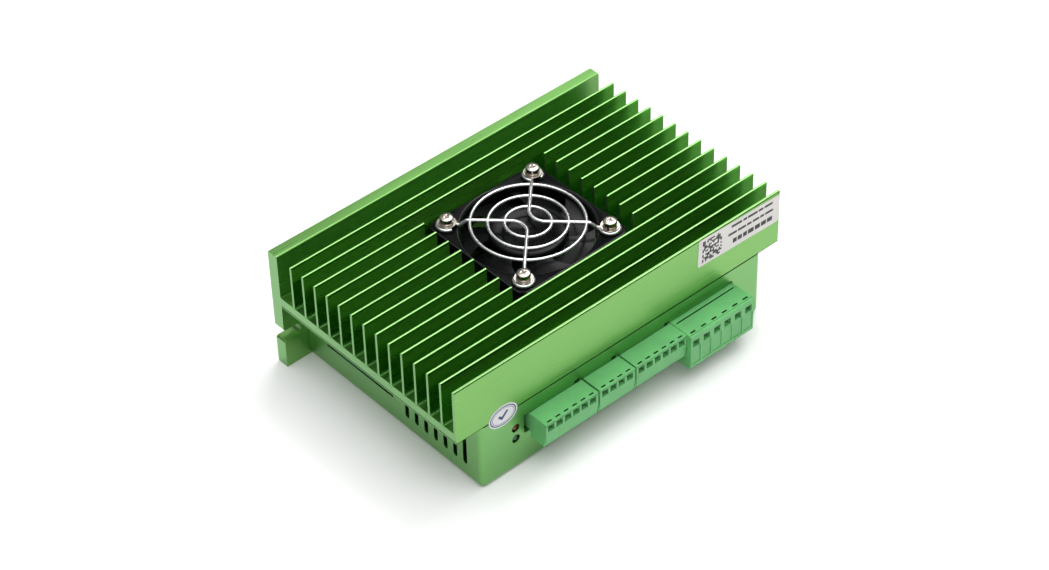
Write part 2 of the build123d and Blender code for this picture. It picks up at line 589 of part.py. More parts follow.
BIG_SCREW_X = 103.8
with BuildPart() as plug_power:
    n, yc, w = POWER
    y0, y1 = yc - w / 2, yc + w / 2
    with BuildSketch(at_y(y0)):
        with BuildLine():
            Polyline(
                (BIG_BACK, 8.2), (BIG_BACK + 1.6, BIG_Z0), (BIG_FRONT - 0.6, BIG_Z0),
                (BIG_FRONT, BIG_Z0 + 0.6), (BIG_FRONT, BIG_Z1 - 0.75), (BIG_FRONT - 0.3, BIG_Z1 - 0.4),
                (BIG_FRONT - 1.0, BIG_Z1 - 0.4), (BIG_FRONT - 1.0, BIG_Z1), (BIG_BACK, BIG_Z1), close=True,
            )
        make_face()
    extrude(amount=-w)
    block(BH_X0 + 2.6, BIG_BACK, y0 + 1.5, y1 - 1.5, BH_Z0 + 1.6, 20.2)
    for y in BIG_POLES:
        block(BIG_FRONT - 2.2, BIG_FRONT + 1, y - 1.55, y + 1.55, 16.4, 19.3, mode=Mode.SUBTRACT)
        block(101.1, BIG_FRONT - 2.1, y - 2.1, y + 2.1, 10.0, 20.6, mode=Mode.SUBTRACT)
        block(BH_X0 + 1, 101.2, y - 1.2, y + 1.2, BIG_PIN_Z - 1.1, BIG_PIN_Z + 1.1, mode=Mode.SUBTRACT)
        block(BIG_FRONT - 0.3, BIG_FRONT + 1, y - 2.2, y + 2.2, 8.4, 15.9, mode=Mode.SUBTRACT)
        block(BIG_FRONT - 2.2, BIG_FRONT - 1.5, y - 1.2, y + 1.2, BIG_Z1 - 0.8, BIG_Z1 + 1, mode=Mode.SUBTRACT)
        block(BIG_FRONT - 0.5, BIG_FRONT + 1, y - 0.5, y + 0.5, BIG_Z0 - 1, BIG_Z0 + 0.9, mode=Mode.SUBTRACT)
    rod([(BIG_SCREW_X, y) for y in BIG_POLES], 1.95, BIG_Z0 - 1, 10.1, mode=Mode.SUBTRACT)
keep(plug_power, "plug_power")

with BuildPart() as plug_power_screws:
    pts = [(BIG_SCREW_X, y) for y in BIG_POLES]
    rod(pts, 1.9, 7.2, 9.6)
    rod(pts, 1.45, 9.6, 15.6)
    for y in BIG_POLES:
        block(BIG_SCREW_X - 2.2, BIG_SCREW_X + 2.2, y - 0.3, y + 0.3, 7.0, 8.2, mode=Mode.SUBTRACT)
keep(plug_power_screws, "plug_power_screws")

with BuildPart() as plug_power_clamps:
    for y in BIG_POLES:
        block(101.2, BIG_FRONT - 2.2, y - 2.0, y + 2.0, 10.2, 20.4)
        block(101.8, BIG_FRONT, y - 1.5, y + 1.5, 12.6, 19.8, mode=Mode.SUBTRACT)
    for y in BIG_POLES:
        block(BH_X0 + 3.0, 101.2, y - 1.1, y + 1.1, BIG_PIN_Z - 1.0, BIG_PIN_Z + 1.0)
        block(BH_X0 + 2, 98.4, y - 0.6, y + 0.6, BIG_PIN_Z - 0.6, BIG_PIN_Z + 0.6, mode=Mode.SUBTRACT)
    rod([(BIG_SCREW_X, y) for y in BIG_POLES], 1.5, 10, 12.7, mode=Mode.SUBTRACT)
keep(plug_power_clamps, "plug_power_clamps")

# =====================================================================
# Switches and tuning socket behind the window in the near end
# =====================================================================
DIP_Y0 = 12.1
with BuildPart() as dip_switch_body:
    block(DIP_X0 - 2.0, DIP_X0 + DIP_PITCH * 7 + 2.0, DIP_Y0, DIP_Y0 + 5.8, 11.0, 20.6)
    block(DIP_X0 - 2.0, DIP_X0 + DIP_PITCH * 7 + 2.0, DIP_Y0 + 1.6, DIP_Y0 + 5.8, 20.6, BOARD_Z0)
    for i in range(DIP_N):
        x = DIP_X0 + DIP_PITCH * i
        block(x - 0.75, x + 0.75, DIP_Y0 - 1, DIP_Y0 + 1.3, 13.5, 18.1, mode=Mode.SUBTRACT)
        block(x - 1.0, x + 1.0, DIP_Y0 + 1.1, DIP_Y0 + 2.5, 13.0, 18.6, mode=Mode.SUBTRACT)
keep(dip_switch_body, "dip_switch_body")


def dip_slider(i):
    x = DIP_X0 + DIP_PITCH * i
    block(x - 0.9, x + 0.9, DIP_Y0 + 1.2, DIP_Y0 + 2.4, 13.2, 16.0)
    block(x - 0.65, x + 0.65, DIP_Y0 - 0.6, DIP_Y0 + 1.2, 13.8, 15.4)


with BuildPart() as dip_slider_1:
    dip_slider(0)
keep(dip_slider_1, "dip_slider_1")
with BuildPart() as dip_slider_2:
    dip_slider(1)
keep(dip_slider_2, "dip_slider_2")
with BuildPart() as dip_slider_3:
    dip_slider(2)
keep(dip_slider_3, "dip_slider_3")
with BuildPart() as dip_slider_4:
    dip_slider(3)
keep(dip_slider_4, "dip_slider_4")
with BuildPart() as dip_slider_5:
    dip_slider(4)
keep(dip_slider_5, "dip_slider_5")
with BuildPart() as dip_slider_6:
    dip_slider(5)
keep(dip_slider_6, "dip_slider_6")
with BuildPart() as dip_slider_7:
    dip_slider(6)
keep(dip_slider_7, "dip_slider_7")
with BuildPart() as dip_slider_8:
    dip_slider(7)
keep(dip_slider_8, "dip_slider_8")

with BuildPart() as comm_socket:
    block(39.6, 51.0, DIP_Y0, 26.0, 10.6, BOARD_Z0)
    block(41.2, 49.4, DIP_Y0 - 1, 23.0, 12.6, 19.4, mode=Mode.SUBTRACT)
    block(43.2, 47.4, DIP_Y0 - 1, 20.0, 11.4, 12.7, mode=Mode.SUBTRACT)      # latch channel
    for i in range(4):                                                       # contacts
        x = 43.4 + 1.27 * i
        block(x - 0.2, x + 0.2, DIP_Y0 + 3.0, 23.0, 18.4, 19.5)
keep(comm_socket, "comm_socket")

# =====================================================================
# Fan
# =====================================================================
FC = (FAN_X, FAN_Y)
HALF = FAN_SIZE / 2
with BuildPart() as fan_frame:
    with BuildSketch(at_z(FAN_Z0)):
        with Locations(FC):
            RectangleRounded(FAN_SIZE, FAN_SIZE, 3.0)
            Circle(BORE_R, mode=Mode.SUBTRACT)
        with Locations(*FAN_CORNERS):
            Circle(2.15, mode=Mode.SUBTRACT)
    extrude(amount=FAN_T)
    chamfer(
        fan_frame.edges().filter_by(GeomType.CIRCLE).group_by(Axis.Z)[-1].sort_by(SortBy.RADIUS)[-1],
        0.8,
    )
    # floor plate, four struts and the bearing tube
    rod([FC], 13.2, FAN_Z0, FAN_Z0 + 1.2)
    for ang in (45, 135, 225, 315):
        with BuildSketch(at_z(FAN_Z0)):
            with Locations(Location((FAN_X, FAN_Y, 0), (0, 0, ang))):
                with Locations((18.0, 0)):
                    Rectangle(13.0, 2.4)
        extrude(amount=1.6)
    rod([FC], 3.6, FAN_Z0 + 1.2, FAN_Z0 + 7.2)
    rod([FC], BEARING_R, FAN_Z0 + 0.8, FAN_Z0 + 8, mode=Mode.SUBTRACT)
keep(fan_frame, "fan_frame")

with BuildPart() as fan_bearing:
    rod([FC], BEARING_R, FAN_Z0 + 1.4, FAN_Z0 + 7.0)
    rod([FC], SHAFT_BORE_R, FAN_Z0 + 1.0, FAN_Z0 + 7.4, mode=Mode.SUBTRACT)
keep(fan_bearing, "fan_bearing")

with BuildPart() as fan_shaft:
    rod([FC], SHAFT_R, FAN_Z0 + 1.3, FAN_Z0 + 8.9)
keep(fan_shaft, "fan_shaft")

with BuildPart() as fan_stator:
    # control board, four pole core and its windings
    rod([FC], 11.3, FAN_Z0 + 1.25, FAN_Z0 + 1.85)
    rod([FC], 3.65, FAN_Z0 + 1.0, FAN_Z0 + 2.0, mode=Mode.SUBTRACT)
    with BuildSketch(at_z(FAN_Z0 + 3.0)):
        with Locations(FC):
            Circle(5.2)
            with PolarLocations(7.4, 4):
                Rectangle(6.0, 3.2)
        with Locations(FC):
            with PolarLocations(9.6, 4):
                Rectangle(2.4, 10.0)
        with Locations(FC):
            Circle(11.1, mode=Mode.INTERSECT)
            Circle(3.65, mode=Mode.SUBTRACT)
    extrude(amount=3.0)
    with BuildSketch(at_z(FAN_Z0 + 2.4)):
        with Locations(FC):
            with PolarLocations(6.8, 4):
                Rectangle(2.6, 5.6)
    extrude(amount=4.2)
keep(fan_stator, "fan_stator")

with BuildPart() as fan_magnet:
    rod([FC], 12.95, FAN_Z0 + 3.0, FAN_Z0 + 8.2)
    rod([FC], 11.6, FAN_Z0 + 2.5, FAN_Z0 + 9, mode=Mode.SUBTRACT)
keep(fan_magnet, "fan_magnet")

with BuildPart() as fan_rotor:
    rod([FC], HUB_R, FAN_Z0 + 2.2, FAN_Z0 + 9.6)
    fillet(fan_rotor.edges().filter_by(GeomType.CIRCLE).group_by(Axis.Z)[-1], 1.0)
    rod([FC], 13.0, FAN_Z0 + 2.0, FAN_Z0 + 8.4, mode=Mode.SUBTRACT)
    rod([FC], 2.4, FAN_Z0 + 7.4, FAN_Z0 + 8.4)
    rod([FC], SHAFT_R, FAN_Z0 + 7.0, FAN_Z0 + 8.9, mode=Mode.SUBTRACT)
    # seven twisted blades, each lofted from root to tip
    for k in range(BLADE_N):
        ang = 360.0 * k / BLADE_N + 11
        spin = Plane(origin=(SHIFT[0] + FAN_X, SHIFT[1] + FAN_Y, FAN_Z0 + 5.9)).rotated((0, 0, ang))
        for r, pitch, chord in ((HUB_R - 0.35, 48, 7.6), (BLADE_R + 0.6, 63, 11.8)):
            out = spin.x_dir
            pl = Plane(origin=spin.origin + out * r, x_dir=spin.y_dir, z_dir=out)
            with BuildSketch(pl):
                Rectangle(0.9, chord, rotation=pitch)
        loft(ruled=True)
    rod([FC], BLADE_R, FAN_Z0, FAN_Z0 + 12, mode=Mode.INTERSECT)
keep(fan_rotor, "fan_rotor")

with BuildPart() as fan_spacers:
    rod(FAN_CORNERS, 3.2, BASE_Z1, FAN_Z0)
    rod(FAN_CORNERS, 1.65, BASE_Z1, FAN_Z0, mode=Mode.SUBTRACT)
keep(fan_spacers, "fan_spacers")

with BuildPart() as finger_guard:
    for r in RINGS:
        with BuildSketch(Plane(origin=(SHIFT[0] + FAN_X, SHIFT[1] + FAN_Y, RING_Z), x_dir=(1, 0, 0), z_dir=(0, -1, 0))):
            with Locations((r, 0)):
                Circle(RING_WIRE_R)
        revolve(axis=Axis((SHIFT[0] + FAN_X, SHIFT[1] + FAN_Y, 0), (0, 0, 1)))
    # eyes round the four screws
    for cx, cy in FAN_CORNERS:
        with BuildSketch(Plane(origin=(SHIFT[0] + cx, SHIFT[1] + cy, EYE_Z), x_dir=(1, 0, 0), z_dir=(0, -1, 0))):
            with Locations((EYE_R, 0)):
                Circle(EYE_WIRE_R)
        revolve(axis=Axis((SHIFT[0] + cx, SHIFT[1] + cy, 0), (0, 0, 1)))
    # two bent wires, each joining two eyes past the middle of the rings
    gx, gy = SHIFT[0] + FAN_X, SHIFT[1] + FAN_Y
    diag = FAN_HOLES / 2 * 2 ** 0.5
    reach = [(diag - EYE_R, EYE_Z), (diag - EYE_R - 1.1, EYE_Z), (diag - EYE_R - 4.1, ARM_Z)]
    for side in (1, -1):
        out = [(r * 2 ** -0.5, z) for r, z in reach]
        with BuildLine() as wire:
            FilletPolyline(
                *[(gx - d, gy + side * d, z) for d, z in out],
                (gx, gy + side * 2.9, ARM_Z),
                *[(gx + d, gy + side * d, z) for d, z in reversed(out)],
                radius=1.6,
            )
        start = wire.line @ 0
        with BuildSketch(Plane(origin=start, z_dir=wire.line % 0)):
            Circle(ARM_WIRE_R)
        sweep(path=wire.line)
keep(finger_guard, "finger_guard")

with BuildPart() as fan_flat_washers:
    rod(FAN_CORNERS, 3.45, FAN_Z1 + 1.4, FAN_Z1 + 1.9)
    rod(FAN_CORNERS, 1.6, FAN_Z1 + 1.4, FAN_Z1 + 1.9, mode=Mode.SUBTRACT)
keep(fan_flat_washers, "fan_flat_washers")

with BuildPart() as fan_spring_washers:
    rod(FAN_CORNERS, 2.75, FAN_Z1 + 1.9, FAN_Z1 + 2.6)
    rod(FAN_CORNERS, 1.6, FAN_Z1 + 1.9, FAN_Z1 + 2.6, mode=Mode.SUBTRACT)
    for cx, cy in FAN_CORNERS:                                   # the split
        block(cx + 1.0, cx + 3.5, cy - 0.2, cy + 0.2, FAN_Z1 + 1.8, FAN_Z1 + 2.7, mode=Mode.SUBTRACT)
keep(fan_spring_washers, "fan_spring_washers")

HEAD_Z0 = FAN_Z1 + 2.6
with BuildPart() as fan_screws:
    rod(FAN_CORNERS, 2.5, HEAD_Z0, HEAD_Z0 + 1.8)
    fillet(fan_screws.edges().filter_by(GeomType.CIRCLE).group_by(Axis.Z)[-1], 0.6)
    rod(FAN_CORNERS, STUD_R, HEAD_Z0 - 20.0, HEAD_Z0)
    for cx, cy in FAN_CORNERS:                                   # cross recess
        block(cx - 0.35, cx + 0.35, cy - 1.4, cy + 1.4, HEAD_Z0 + 0.8, HEAD_Z0 + 2, mode=Mode.SUBTRACT)
        block(cx - 1.4, cx + 1.4, cy - 0.35, cy + 0.35, HEAD_Z0 + 0.8, HEAD_Z0 + 2, mode=Mode.SUBTRACT)
keep(fan_screws, "fan_screws")

# =====================================================================
# Stickers on the terminal side
# =====================================================================
with BuildPart() as model_label:
    with BuildSketch(at_x(WIDTH)):
        with Locations(Location((130.0, 44.4, 0), (0, 0, -1.7))):
            RectangleRounded(39.6, 11.8, 1.0)
    extrude(amount=0.12)
keep(model_label, "model_label")

with BuildPart() as qc_sticker:
    with BuildSketch(at_x(WIDTH)):
        with Locations((20.4, 28.1)):
            Ellipse(6.3, 4.6)
    extrude(amount=0.12)
keep(qc_sticker, "qc_sticker")
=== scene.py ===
import bpy
import bmesh
import json
import math
import random
from mathutils import Matrix, Vector


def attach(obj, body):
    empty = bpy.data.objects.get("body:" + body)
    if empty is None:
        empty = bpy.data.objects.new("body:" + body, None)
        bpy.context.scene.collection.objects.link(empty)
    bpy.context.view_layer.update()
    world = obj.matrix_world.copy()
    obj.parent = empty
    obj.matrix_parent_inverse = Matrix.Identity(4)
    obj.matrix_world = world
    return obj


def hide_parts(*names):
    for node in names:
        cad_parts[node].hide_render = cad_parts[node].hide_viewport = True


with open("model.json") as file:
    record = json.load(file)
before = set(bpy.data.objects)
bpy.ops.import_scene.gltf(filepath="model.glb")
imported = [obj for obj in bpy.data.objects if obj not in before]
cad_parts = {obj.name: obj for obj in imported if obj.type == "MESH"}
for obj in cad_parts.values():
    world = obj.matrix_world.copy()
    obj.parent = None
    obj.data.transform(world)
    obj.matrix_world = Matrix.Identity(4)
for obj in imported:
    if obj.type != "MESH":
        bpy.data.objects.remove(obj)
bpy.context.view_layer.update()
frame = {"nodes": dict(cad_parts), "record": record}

random.seed(7)
MM = 0.001
SX, SY = -54.0, -75.0            # wall corner to row frame, mm


def V(x, y, z):
    return Vector(((SX + x) * MM, (SY + y) * MM, z * MM))


# ------------------------------------------------------------------ camera
def make_camera():
    cam = bpy.data.cameras.new("camera")
    cam.sensor_width = 36.0
    cam.sensor_fit = "HORIZONTAL"
    cam.lens = 2873.156 / 1049.0 * 36.0
    cam.clip_start, cam.clip_end = 0.05, 20.0
    cam.shift_x = 0.0009
    obj = bpy.data.objects.new("camera", cam)
    bpy.context.scene.collection.objects.link(obj)
    right = Vector((0.66663, 0.74510, -0.02095)).normalized()
    fwd = Vector((-0.56774, 0.48933, -0.66199)).normalized()
    up = right.cross(fwd).normalized()
    m = Matrix((
        (right.x, up.x, -fwd.x, 0),
        (right.y, up.y, -fwd.y, 0),
        (right.z, up.z, -fwd.z, 0),
        (0, 0, 0, 1),
    ))
    obj.matrix_world = Matrix.Translation(V(620.999, -420.201, 689.744)) @ m
    bpy.context.scene.camera = obj
    return obj


make_camera()
bpy.context.scene.view_settings.view_transform = "Standard"
bpy.context.scene.view_settings.look = "None"


# --------------------------------------------------------------- materials
class Mat:
    """Small builder for procedural materials."""

    def __init__(self, name):
        self.m = bpy.data.materials.new(name)
        self.m.use_nodes = True
        self.t = self.m.node_tree
        self.b = self.t.nodes["Principled BSDF"]
        self.coord = self.t.nodes.new("ShaderNodeTexCoord").outputs["Object"]

    def set(self, **kw):
        for k, v in kw.items():
            s = self.b.inputs[k.replace("_", " ")]
            s.default_value = v if not isinstance(v, tuple) else (*v, 1.0)[:4]
        return self

    def mapped(self, scale, rot=(0, 0, 0)):
        n = self.t.nodes.new("ShaderNodeMapping")
        n.inputs["Scale"].default_value = scale
        n.inputs["Rotation"].default_value = rot
        self.t.links.new(self.coord, n.inputs["Vector"])
        return n.outputs["Vector"]

    def noise(self, scale, detail=3.0, rough=0.5, stretch=(1, 1, 1)):
        n = self.t.nodes.new("ShaderNodeTexNoise")
        n.inputs["Scale"].default_value = scale
        n.inputs["Detail"].default_value = detail
        n.inputs["Roughness"].default_value = rough
        self.t.links.new(self.mapped(stretch), n.inputs["Vector"])
        return n.outputs["Fac"]

    def ramp(self, fac, stops):
        n = self.t.nodes.new("ShaderNodeValToRGB")
        e = n.color_ramp.elements
        e[0].position, e[0].color = stops[0][0], (*stops[0][1], 1)
        e[1].position, e[1].color = stops[-1][0], (*stops[-1][1], 1)
        for p, c in stops[1:-1]:
            x = e.new(p)
            x.color = (*c, 1)
        self.t.links.new(fac, n.inputs["Fac"])
        return n.outputs["Color"]

    def range(self, fac, a, b, lo=0.3, hi=0.7):
        n = self.t.nodes.new("ShaderNodeMapRange")
        n.inputs["From Min"].default_value = lo
        n.inputs["From Max"].default_value = hi
        n.inputs["To Min"].default_value = a
        n.inputs["To Max"].default_value = b
        self.t.links.new(fac, n.inputs["Value"])
        return n.outputs["Result"]

    def math(self, op, a, b):
        n = self.t.nodes.new("ShaderNodeMath")
        n.operation = op
        for i, x in enumerate((a, b)):
            if isinstance(x, (int, float)):
                n.inputs[i].default_value = x
            else:
                self.t.links.new(x, n.inputs[i])
        return n.outputs[0]

    def mix(self, fac, a, b):
        n = self.t.nodes.new("ShaderNodeMix")
        n.data_type = "RGBA"
        self.t.links.new(fac, n.inputs[0])
        for sock, x in ((n.inputs[6], a), (n.inputs[7], b)):
            if isinstance(x, tuple):
                sock.default_value = (*x, 1)
            else:
                self.t.links.new(x, sock)
        return n.outputs[2]

    def wire(self, socket, out):
        self.t.links.new(out, self.b.inputs[socket])
        return self

    def bump(self, height, strength=0.2, distance=0.0002):
        n = self.t.nodes.new("ShaderNodeBump")
        n.inputs["Strength"].default_value = strength
        n.inputs["Distance"].default_value = distance
        self.t.links.new(height, n.inputs["Height"])
        self.t.links.new(n.outputs["Normal"], self.b.inputs["Normal"])
        return self


def tint(c, k):
    return tuple(min(1.0, x * k) for x in c)


def anodised(name, base, rough=0.34, streak=(60, 1.2, 60), grain=0.25, coat=0.35, spread=1.0, sheen=0.28):
    """Dyed anodised aluminium: saturated metal under a thin clear oxide, with drawing streaks along Y."""
    m = Mat(name)
    m.set(Metallic=1.0, IOR=1.5, Coat_Weight=coat, Coat_Roughness=sheen, Coat_IOR=1.6)
    long = m.noise(18, 4, 0.6, streak)
    cloud = m.noise(45, 2, 0.5)
    fac = m.math("ADD", m.math("MULTIPLY", long, 0.7), m.math("MULTIPLY", cloud, 0.3))
    m.wire("Base Color", m.ramp(fac, [(0.30, tint(base, 0.94)), (0.5, base), (0.72, tint(base, 1.06))]))
    m.wire("Roughness", m.range(long, rough - 0.05 * spread, rough + 0.07 * spread))
    fine = m.noise(900, 2, 0.6, (1, 0.06, 1))
    blast = m.noise(2600, 2, 0.6)
    if grain:
        m.bump(m.math("ADD", fine, m.math("MULTIPLY", blast, 0.6)), grain, 0.00004)
    return m.m


def plastic(name, base, rough=0.42, var=0.08, scale=900, bump=0.12, coat=0.0, spec=0.5):
    m = Mat(name)
    m.set(Metallic=0.0, IOR=1.5, Coat_Weight=coat, Coat_Roughness=0.2)
    m.set(Specular_IOR_Level=spec)
    c = m.noise(120, 3, 0.55)
    m.wire("Base Color", m.ramp(c, [(0.3, tint(base, 1 - var)), (0.7, tint(base, 1 + var))]))
    g = m.noise(scale, 3, 0.6)
    m.wire("Roughness", m.range(g, rough - 0.05, rough + 0.06))
    m.bump(g, bump, 0.00005)
    return m.m


def metal(name, base, rough=0.2, var=0.05, bump=0.06, stretch=(1, 1, 1), scale=700):
    m = Mat(name)
    m.set(Metallic=1.0, IOR=1.5)
    c = m.noise(160, 3, 0.5, stretch)
    m.wire("Base Color", m.ramp(c, [(0.3, tint(base, 1 - var)), (0.7, tint(base, 1 + var))]))
    g = m.noise(scale, 3, 0.6, stretch)
    m.wire("Roughness", m.range(g, rough * 0.75, rough * 1.3))
    m.bump(g, bump, 0.00003)
    return m.m


GREEN = (0.18, 0.415, 0.105)
M = {}
M["anodised"] = anodised("green_anodised_extrusion", GREEN, rough=0.31, coat=0.2)
# fins: the extrusion's green made much darker, painted shade for the shade between the fins
M["anodised_fin"] = anodised("green_anodised_fins", (0.056, 0.285, 0.016), rough=0.28, coat=0.15, grain=0.0, spread=0.3, sheen=0.16)
# paler green: painted highlight on the side wall's top edge, the fin tips and the strip under the base on the sawn
# ends
M["anodised_painted_highlight"] = anodised("green_anodised_painted_highlight", (0.235, 0.47, 0.15), rough=0.36, coat=0.25, grain=0.05)
# near-black green: painted shade in grooves, gaps and notches and along the joint with the cover
M["anodised_painted_shade"] = anodised("green_anodised_painted_gap_shade", (0.016, 0.05, 0.010), rough=0.5, coat=0.0, grain=0.1)
# paler, rougher sawn-end finish; on the fin roots it serves as a painted highlight line
M["sawn_anodised_and_painted_root_highlight"] = anodised("green_sawn_anodised_ends_and_painted_root_highlight", (0.21, 0.43, 0.17), rough=0.46, streak=(2, 2, 60), coat=0.1, grain=0.2)
M["anodised_sheet"] = anodised("green_anodised_sheet", (0.16, 0.40, 0.115), rough=0.34, streak=(14, 6, 14), grain=0.2)
M["terminal"] = plastic("green_terminal_plastic", (0.135, 0.455, 0.155), rough=0.44, spec=0.45)
# near-black green: painted shade in the plug and header recesses
M["terminal_painted_shade"] = plastic("green_terminal_painted_recess_shade", (0.012, 0.06, 0.018), rough=0.6, spec=0.2)
M["nickel"] = metal("nickel_plate", (0.60, 0.555, 0.49), rough=0.2, bump=0.08)
M["chrome"] = metal("chrome_wire", (0.72, 0.72, 0.73), rough=0.23, bump=0.03)
M["chrome"].node_tree.nodes["Principled BSDF"].inputs["Metallic"].default_value = 0.9
M["zinc"] = metal("zinc_plate", (0.66, 0.67, 0.66), rough=0.3, bump=0.1)
M["brass"] = metal("tinned_brass", (0.78, 0.70, 0.52), rough=0.28)
M["bronze"] = metal("sintered_bronze", (0.50, 0.36, 0.22), rough=0.45, bump=0.2, scale=1800)
M["steel"] = metal("ground_steel", (0.72, 0.72, 0.73), rough=0.16, stretch=(1, 1, 12))
M["alu"] = metal("mill_aluminium", (0.78, 0.78, 0.79), rough=0.32, stretch=(1, 0.1, 1))
M["copper"] = metal("enamelled_copper", (0.80, 0.36, 0.16), rough=0.3, stretch=(1, 1, 14), bump=0.3)
M["fan"] = plastic("fan_black_plastic", (0.0035, 0.0038, 0.004), rough=0.26, var=0.25, spec=0.03, bump=0.06)
# lighter, glossier black: painted highlight on the bore lip and the frame's top arris
M["fan_painted_rim_highlight"] = plastic("fan_black_painted_rim_highlight", (0.018, 0.019, 0.020), rough=0.3, var=0.25, spec=0.45, bump=0.05)
M["fan_gloss"] = plastic("fan_black_gloss", (0.0035, 0.0038, 0.0042), rough=0.24, var=0.25, spec=0.11, bump=0.05)
M["black"] = plastic("black_nylon", (0.016, 0.016, 0.017), rough=0.5, var=0.2)
M["epoxy"] = plastic("epoxy_package", (0.022, 0.022, 0.024), rough=0.6, var=0.2, bump=0.25)
M["ferrite"] = plastic("ferrite_grey", (0.06, 0.06, 0.062), rough=0.7, var=0.25, bump=0.35)
M["magnet"] = plastic("bonded_magnet", (0.02, 0.02, 0.022), rough=0.65, var=0.3, bump=0.3)
M["pad"] = plastic("silicone_pad", (0.42, 0.46, 0.48), rough=0.7, var=0.08)
M["opto"] = plastic("white_epoxy", (0.72, 0.71, 0.66), rough=0.55)
M["nylon"] = plastic("natural_nylon", (0.74, 0.71, 0.62), rough=0.5)
M["sleeve"] = plastic("capacitor_sleeve", (0.012, 0.02, 0.05), rough=0.25, var=0.15)
M["dip"] = plastic("switch_blue", (0.02, 0.06, 0.30), rough=0.4)
M["white"] = plastic("switch_white", (0.80, 0.80, 0.78), rough=0.4)
M["resistor"] = plastic("dark_ceramic", (0.03, 0.03, 0.034), rough=0.5)


def board_mat():
    m = Mat("board_laminate")
    m.set(Metallic=0.0, Coat_Weight=0.4, Coat_Roughness=0.25)
    n = m.noise(70, 2, 0.5, (3, 0.4, 1))
    w = m.noise(900, 2, 0.5)
    m.wire("Base Color", m.ramp(n, [(0.42, (0.004, 0.035, 0.012)), (0.5, (0.010, 0.075, 0.028)), (0.58, (0.006, 0.05, 0.018))]))
    m.wire("Roughness", m.range(w, 0.3, 0.45))
    m.bump(n, 0.3, 0.00008)
    return m.m


def lamp_mat(name, base):
    m = Mat(name)
    m.set(Metallic=0.0, IOR=1.5, Coat_Weight=0.25, Coat_Roughness=0.2)
    n = m.noise(500, 2, 0.5)
    m.wire("Base Color", m.ramp(n, [(0.3, tint(base, 0.8)), (0.7, tint(base, 1.25))]))
    m.wire("Roughness", m.range(n, 0.18, 0.3))
    return m.m


def paper_mat(name, base):
    m = Mat(name)
    m.set(Metallic=0.0, IOR=1.45, Coat_Weight=0.25, Coat_Roughness=0.25)
    n = m.noise(60, 3, 0.5)
    f = m.noise(2400, 2, 0.7)
    m.wire("Base Color", m.ramp(n, [(0.3, tint(base, 0.95)), (0.7, tint(base, 1.04))]))
    m.wire("Roughness", m.range(f, 0.4, 0.55))
    m.bump(f, 0.08, 0.00003)
    return m.m


M["board"] = board_mat()
M["lamp_red"] = lamp_mat("lamp_red_unlit", (0.17, 0.022, 0.004))
M["lamp_green"] = lamp_mat("lamp_green_unlit", (0.015, 0.09, 0.035))
M["paper"] = paper_mat("label_paper", (0.77, 0.735, 0.715))
M["paper_round"] = paper_mat("sticker_paper", (0.78, 0.78, 0.80))
M["ink"] = plastic("label_ink", (0.015, 0.015, 0.02), rough=0.5, var=0.2)
M["ink_blue"] = plastic("sticker_ink", (0.03, 0.045, 0.16), rough=0.5, var=0.15)

SLOT_LOOK = {
    "heatsink_anodised": "anodised", "cover_anodised": "anodised_sheet", "terminal_plastic": "terminal",
    "nickel": "nickel", "guard_wire": "chrome", "zinc": "zinc", "brass": "brass", "fan_black": "fan",
    "bearing_bronze": "bronze", "shaft_steel": "steel", "magnet_black": "magnet", "stator_copper": "copper",
    "board_laminate": "board", "package_black": "epoxy", "silicone_pad": "pad", "bar_aluminium": "alu",
    "capacitor_sleeve": "sleeve", "ferrite": "ferrite", "opto_white": "opto", "resistor_dark": "resistor",
    "connector_white": "nylon", "connector_black": "black", "lamp_red": "lamp_red", "lamp_green": "lamp_green",
    "switch_body": "dip", "switch_white": "white", "sticker_white": "paper", "sticker_round": "paper_round",
}
NODE_SLOT = {s["node"]: s["material_slot"] for s in frame["record"]["subparts"]}
NODE_BODY = {}
for body, nodes in frame["record"]["behaviour"]["bodies"].items():
    for n in nodes:
        NODE_BODY[n] = body
for name, obj in frame["nodes"].items():
    look = M[SLOT_LOOK[NODE_SLOT[name]]]
    for s in obj.material_slots:
        s.material = look


# ----------------------------------------------------------- mesh helpers
def link(name, mesh, mats, body, node=None, slot=None):
    obj = bpy.data.objects.new(name, mesh)
    bpy.context.scene.collection.objects.link(obj)
    obj.data.materials.clear()
    for m in (mats if isinstance(mats, (list, tuple)) else [mats]):
        obj.data.materials.append(M[m])
    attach(obj, body)
    if node:
        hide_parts(*(node if isinstance(node, (list, tuple)) else [node]))
        slot = slot or NODE_SLOT[node if isinstance(node, str) else node[0]]
    return obj


def apply_mods(obj):
    bpy.context.view_layer.update()
    dg = bpy.context.evaluated_depsgraph_get()
    me = bpy.data.meshes.new_from_object(obj.evaluated_get(dg))
    obj.modifiers.clear()
    old = obj.data
    obj.data = me
    if old.users == 0:
        bpy.data.meshes.remove(old)


def smooth(obj, angle=32):
    for p in obj.data.polygons:
        p.use_smooth = True
    obj.data.set_sharp_from_angle(angle=math.radians(angle))


def mark_ends(obj, index=1, axis=1, limit=0.9):
    """Sawn ends take the second finish."""
    for p in obj.data.polygons:
        if abs(p.normal[axis]) > limit:
            p.material_index = index


def bevel_edges(obj, width_mm, test, segments=2):
    """Round only the edges that test picks."""
    bm = bmesh.new()
    bm.from_mesh(obj.data)
    edges = [e for e in bm.edges if len(e.link_faces) == 2 and e.calc_face_angle(0) > math.radians(40) and test(e)]
    bmesh.ops.bevel(bm, geom=edges, offset=width_mm * MM, segments=segments, profile=0.5, affect="EDGES", clamp_overlap=True)
    bm.to_mesh(obj.data)
    bm.free()


